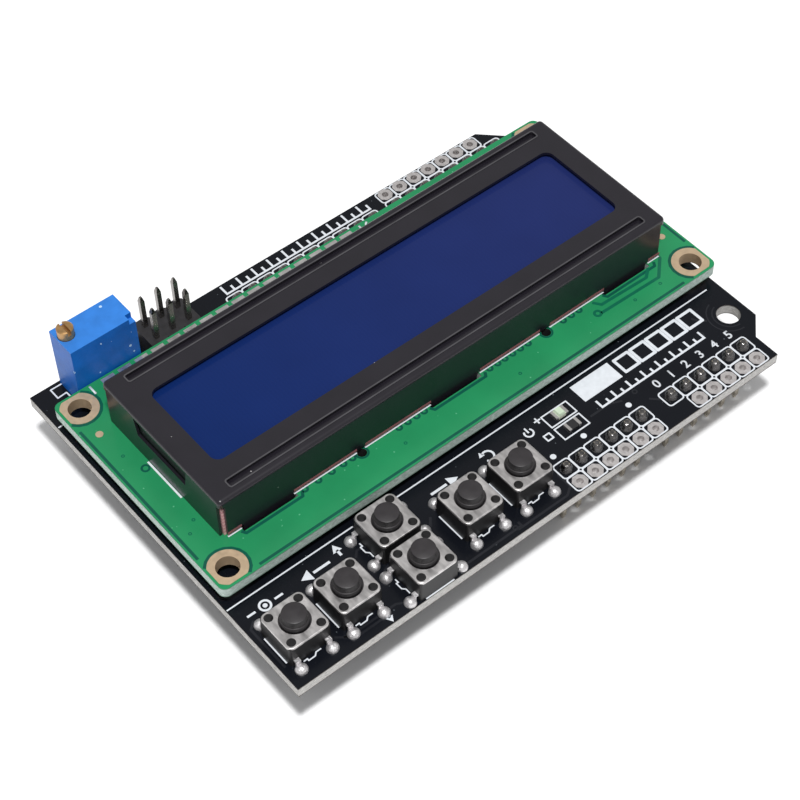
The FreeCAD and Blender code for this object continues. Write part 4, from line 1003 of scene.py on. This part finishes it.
# Floor, light and camera.
floorLook = {"color": (0.98, 0.98, 0.985), "size": 6.0}
bpy.ops.object.select_all(action="DESELECT")
bpy.ops.mesh.primitive_plane_add(size=floorLook["size"], location=(0, 0, 0))
floor = bpy.context.active_object
floor.name = "floor"
floorMaterial = bpy.data.materials.new("paleFloor")
floorMaterial.use_nodes = True
floorShader = floorMaterial.node_tree.nodes["Principled BSDF"]
floorShader.inputs["Base Color"].default_value = (*floorLook["color"], 1)
floorShader.inputs["Roughness"].default_value = 0.9
floorShader.inputs["Specular IOR Level"].default_value = 0.1
floor.data.materials.append(floorMaterial)

lightPlan = {
    "world": 0.47,
    "lamps": [
        {"name": "keyLight", "place": (-0.13, -0.19, 0.62), "size": 0.06, "power": 3.75},
    ],
}
world = bpy.data.worlds.new("studio")
bpy.context.scene.world = world
world.use_nodes = True
sky = world.node_tree.nodes["Background"]
sky.inputs["Color"].default_value = (1, 1, 1, 1)
sky.inputs["Strength"].default_value = lightPlan["world"]
for lamp in lightPlan["lamps"]:
    data = bpy.data.lights.new(lamp["name"], "AREA")
    data.size = lamp["size"]
    data.energy = lamp["power"]
    lampObject = bpy.data.objects.new(lamp["name"], data)
    bpy.context.scene.collection.objects.link(lampObject)
    lampObject.location = lamp["place"]
    lampObject.rotation_euler = (Vector((0, 0, 0.01)) - Vector(lamp["place"])).to_track_quat("-Z", "Y").to_euler()

cameraPlan = {"around": -38.117, "above": 50.898, "roll": -1.55, "far": 260.496,
              "target": (-4.53, -2.592, 10.14), "lens": 93.07}
around = math.radians(cameraPlan["around"])
above = math.radians(cameraPlan["above"])
roll = math.radians(cameraPlan["roll"])
back = Vector((math.sin(around) * math.cos(above), -math.cos(around) * math.cos(above), math.sin(above)))
right = (-back).cross(Vector((0, 0, 1))).normalized()
up = right.cross(-back)
rolledRight = right * math.cos(roll) + up * math.sin(roll)
rolledUp = up * math.cos(roll) - right * math.sin(roll)
eye = (Vector(cameraPlan["target"]) + back * cameraPlan["far"]) * mm
cameraData = bpy.data.cameras.new("photoCamera")
cameraData.lens = cameraPlan["lens"]
cameraData.sensor_width = 36
cameraData.clip_start = 0.005
camera = bpy.data.objects.new("photoCamera", cameraData)
bpy.context.scene.collection.objects.link(camera)
camera.matrix_world = Matrix((
    (rolledRight.x, rolledUp.x, back.x, eye.x), (rolledRight.y, rolledUp.y, back.y, eye.y),
    (rolledRight.z, rolledUp.z, back.z, eye.z), (0, 0, 0, 1)))
bpy.context.scene.camera = camera
bpy.context.scene.view_settings.view_transform = "Standard"

print("scene ready")
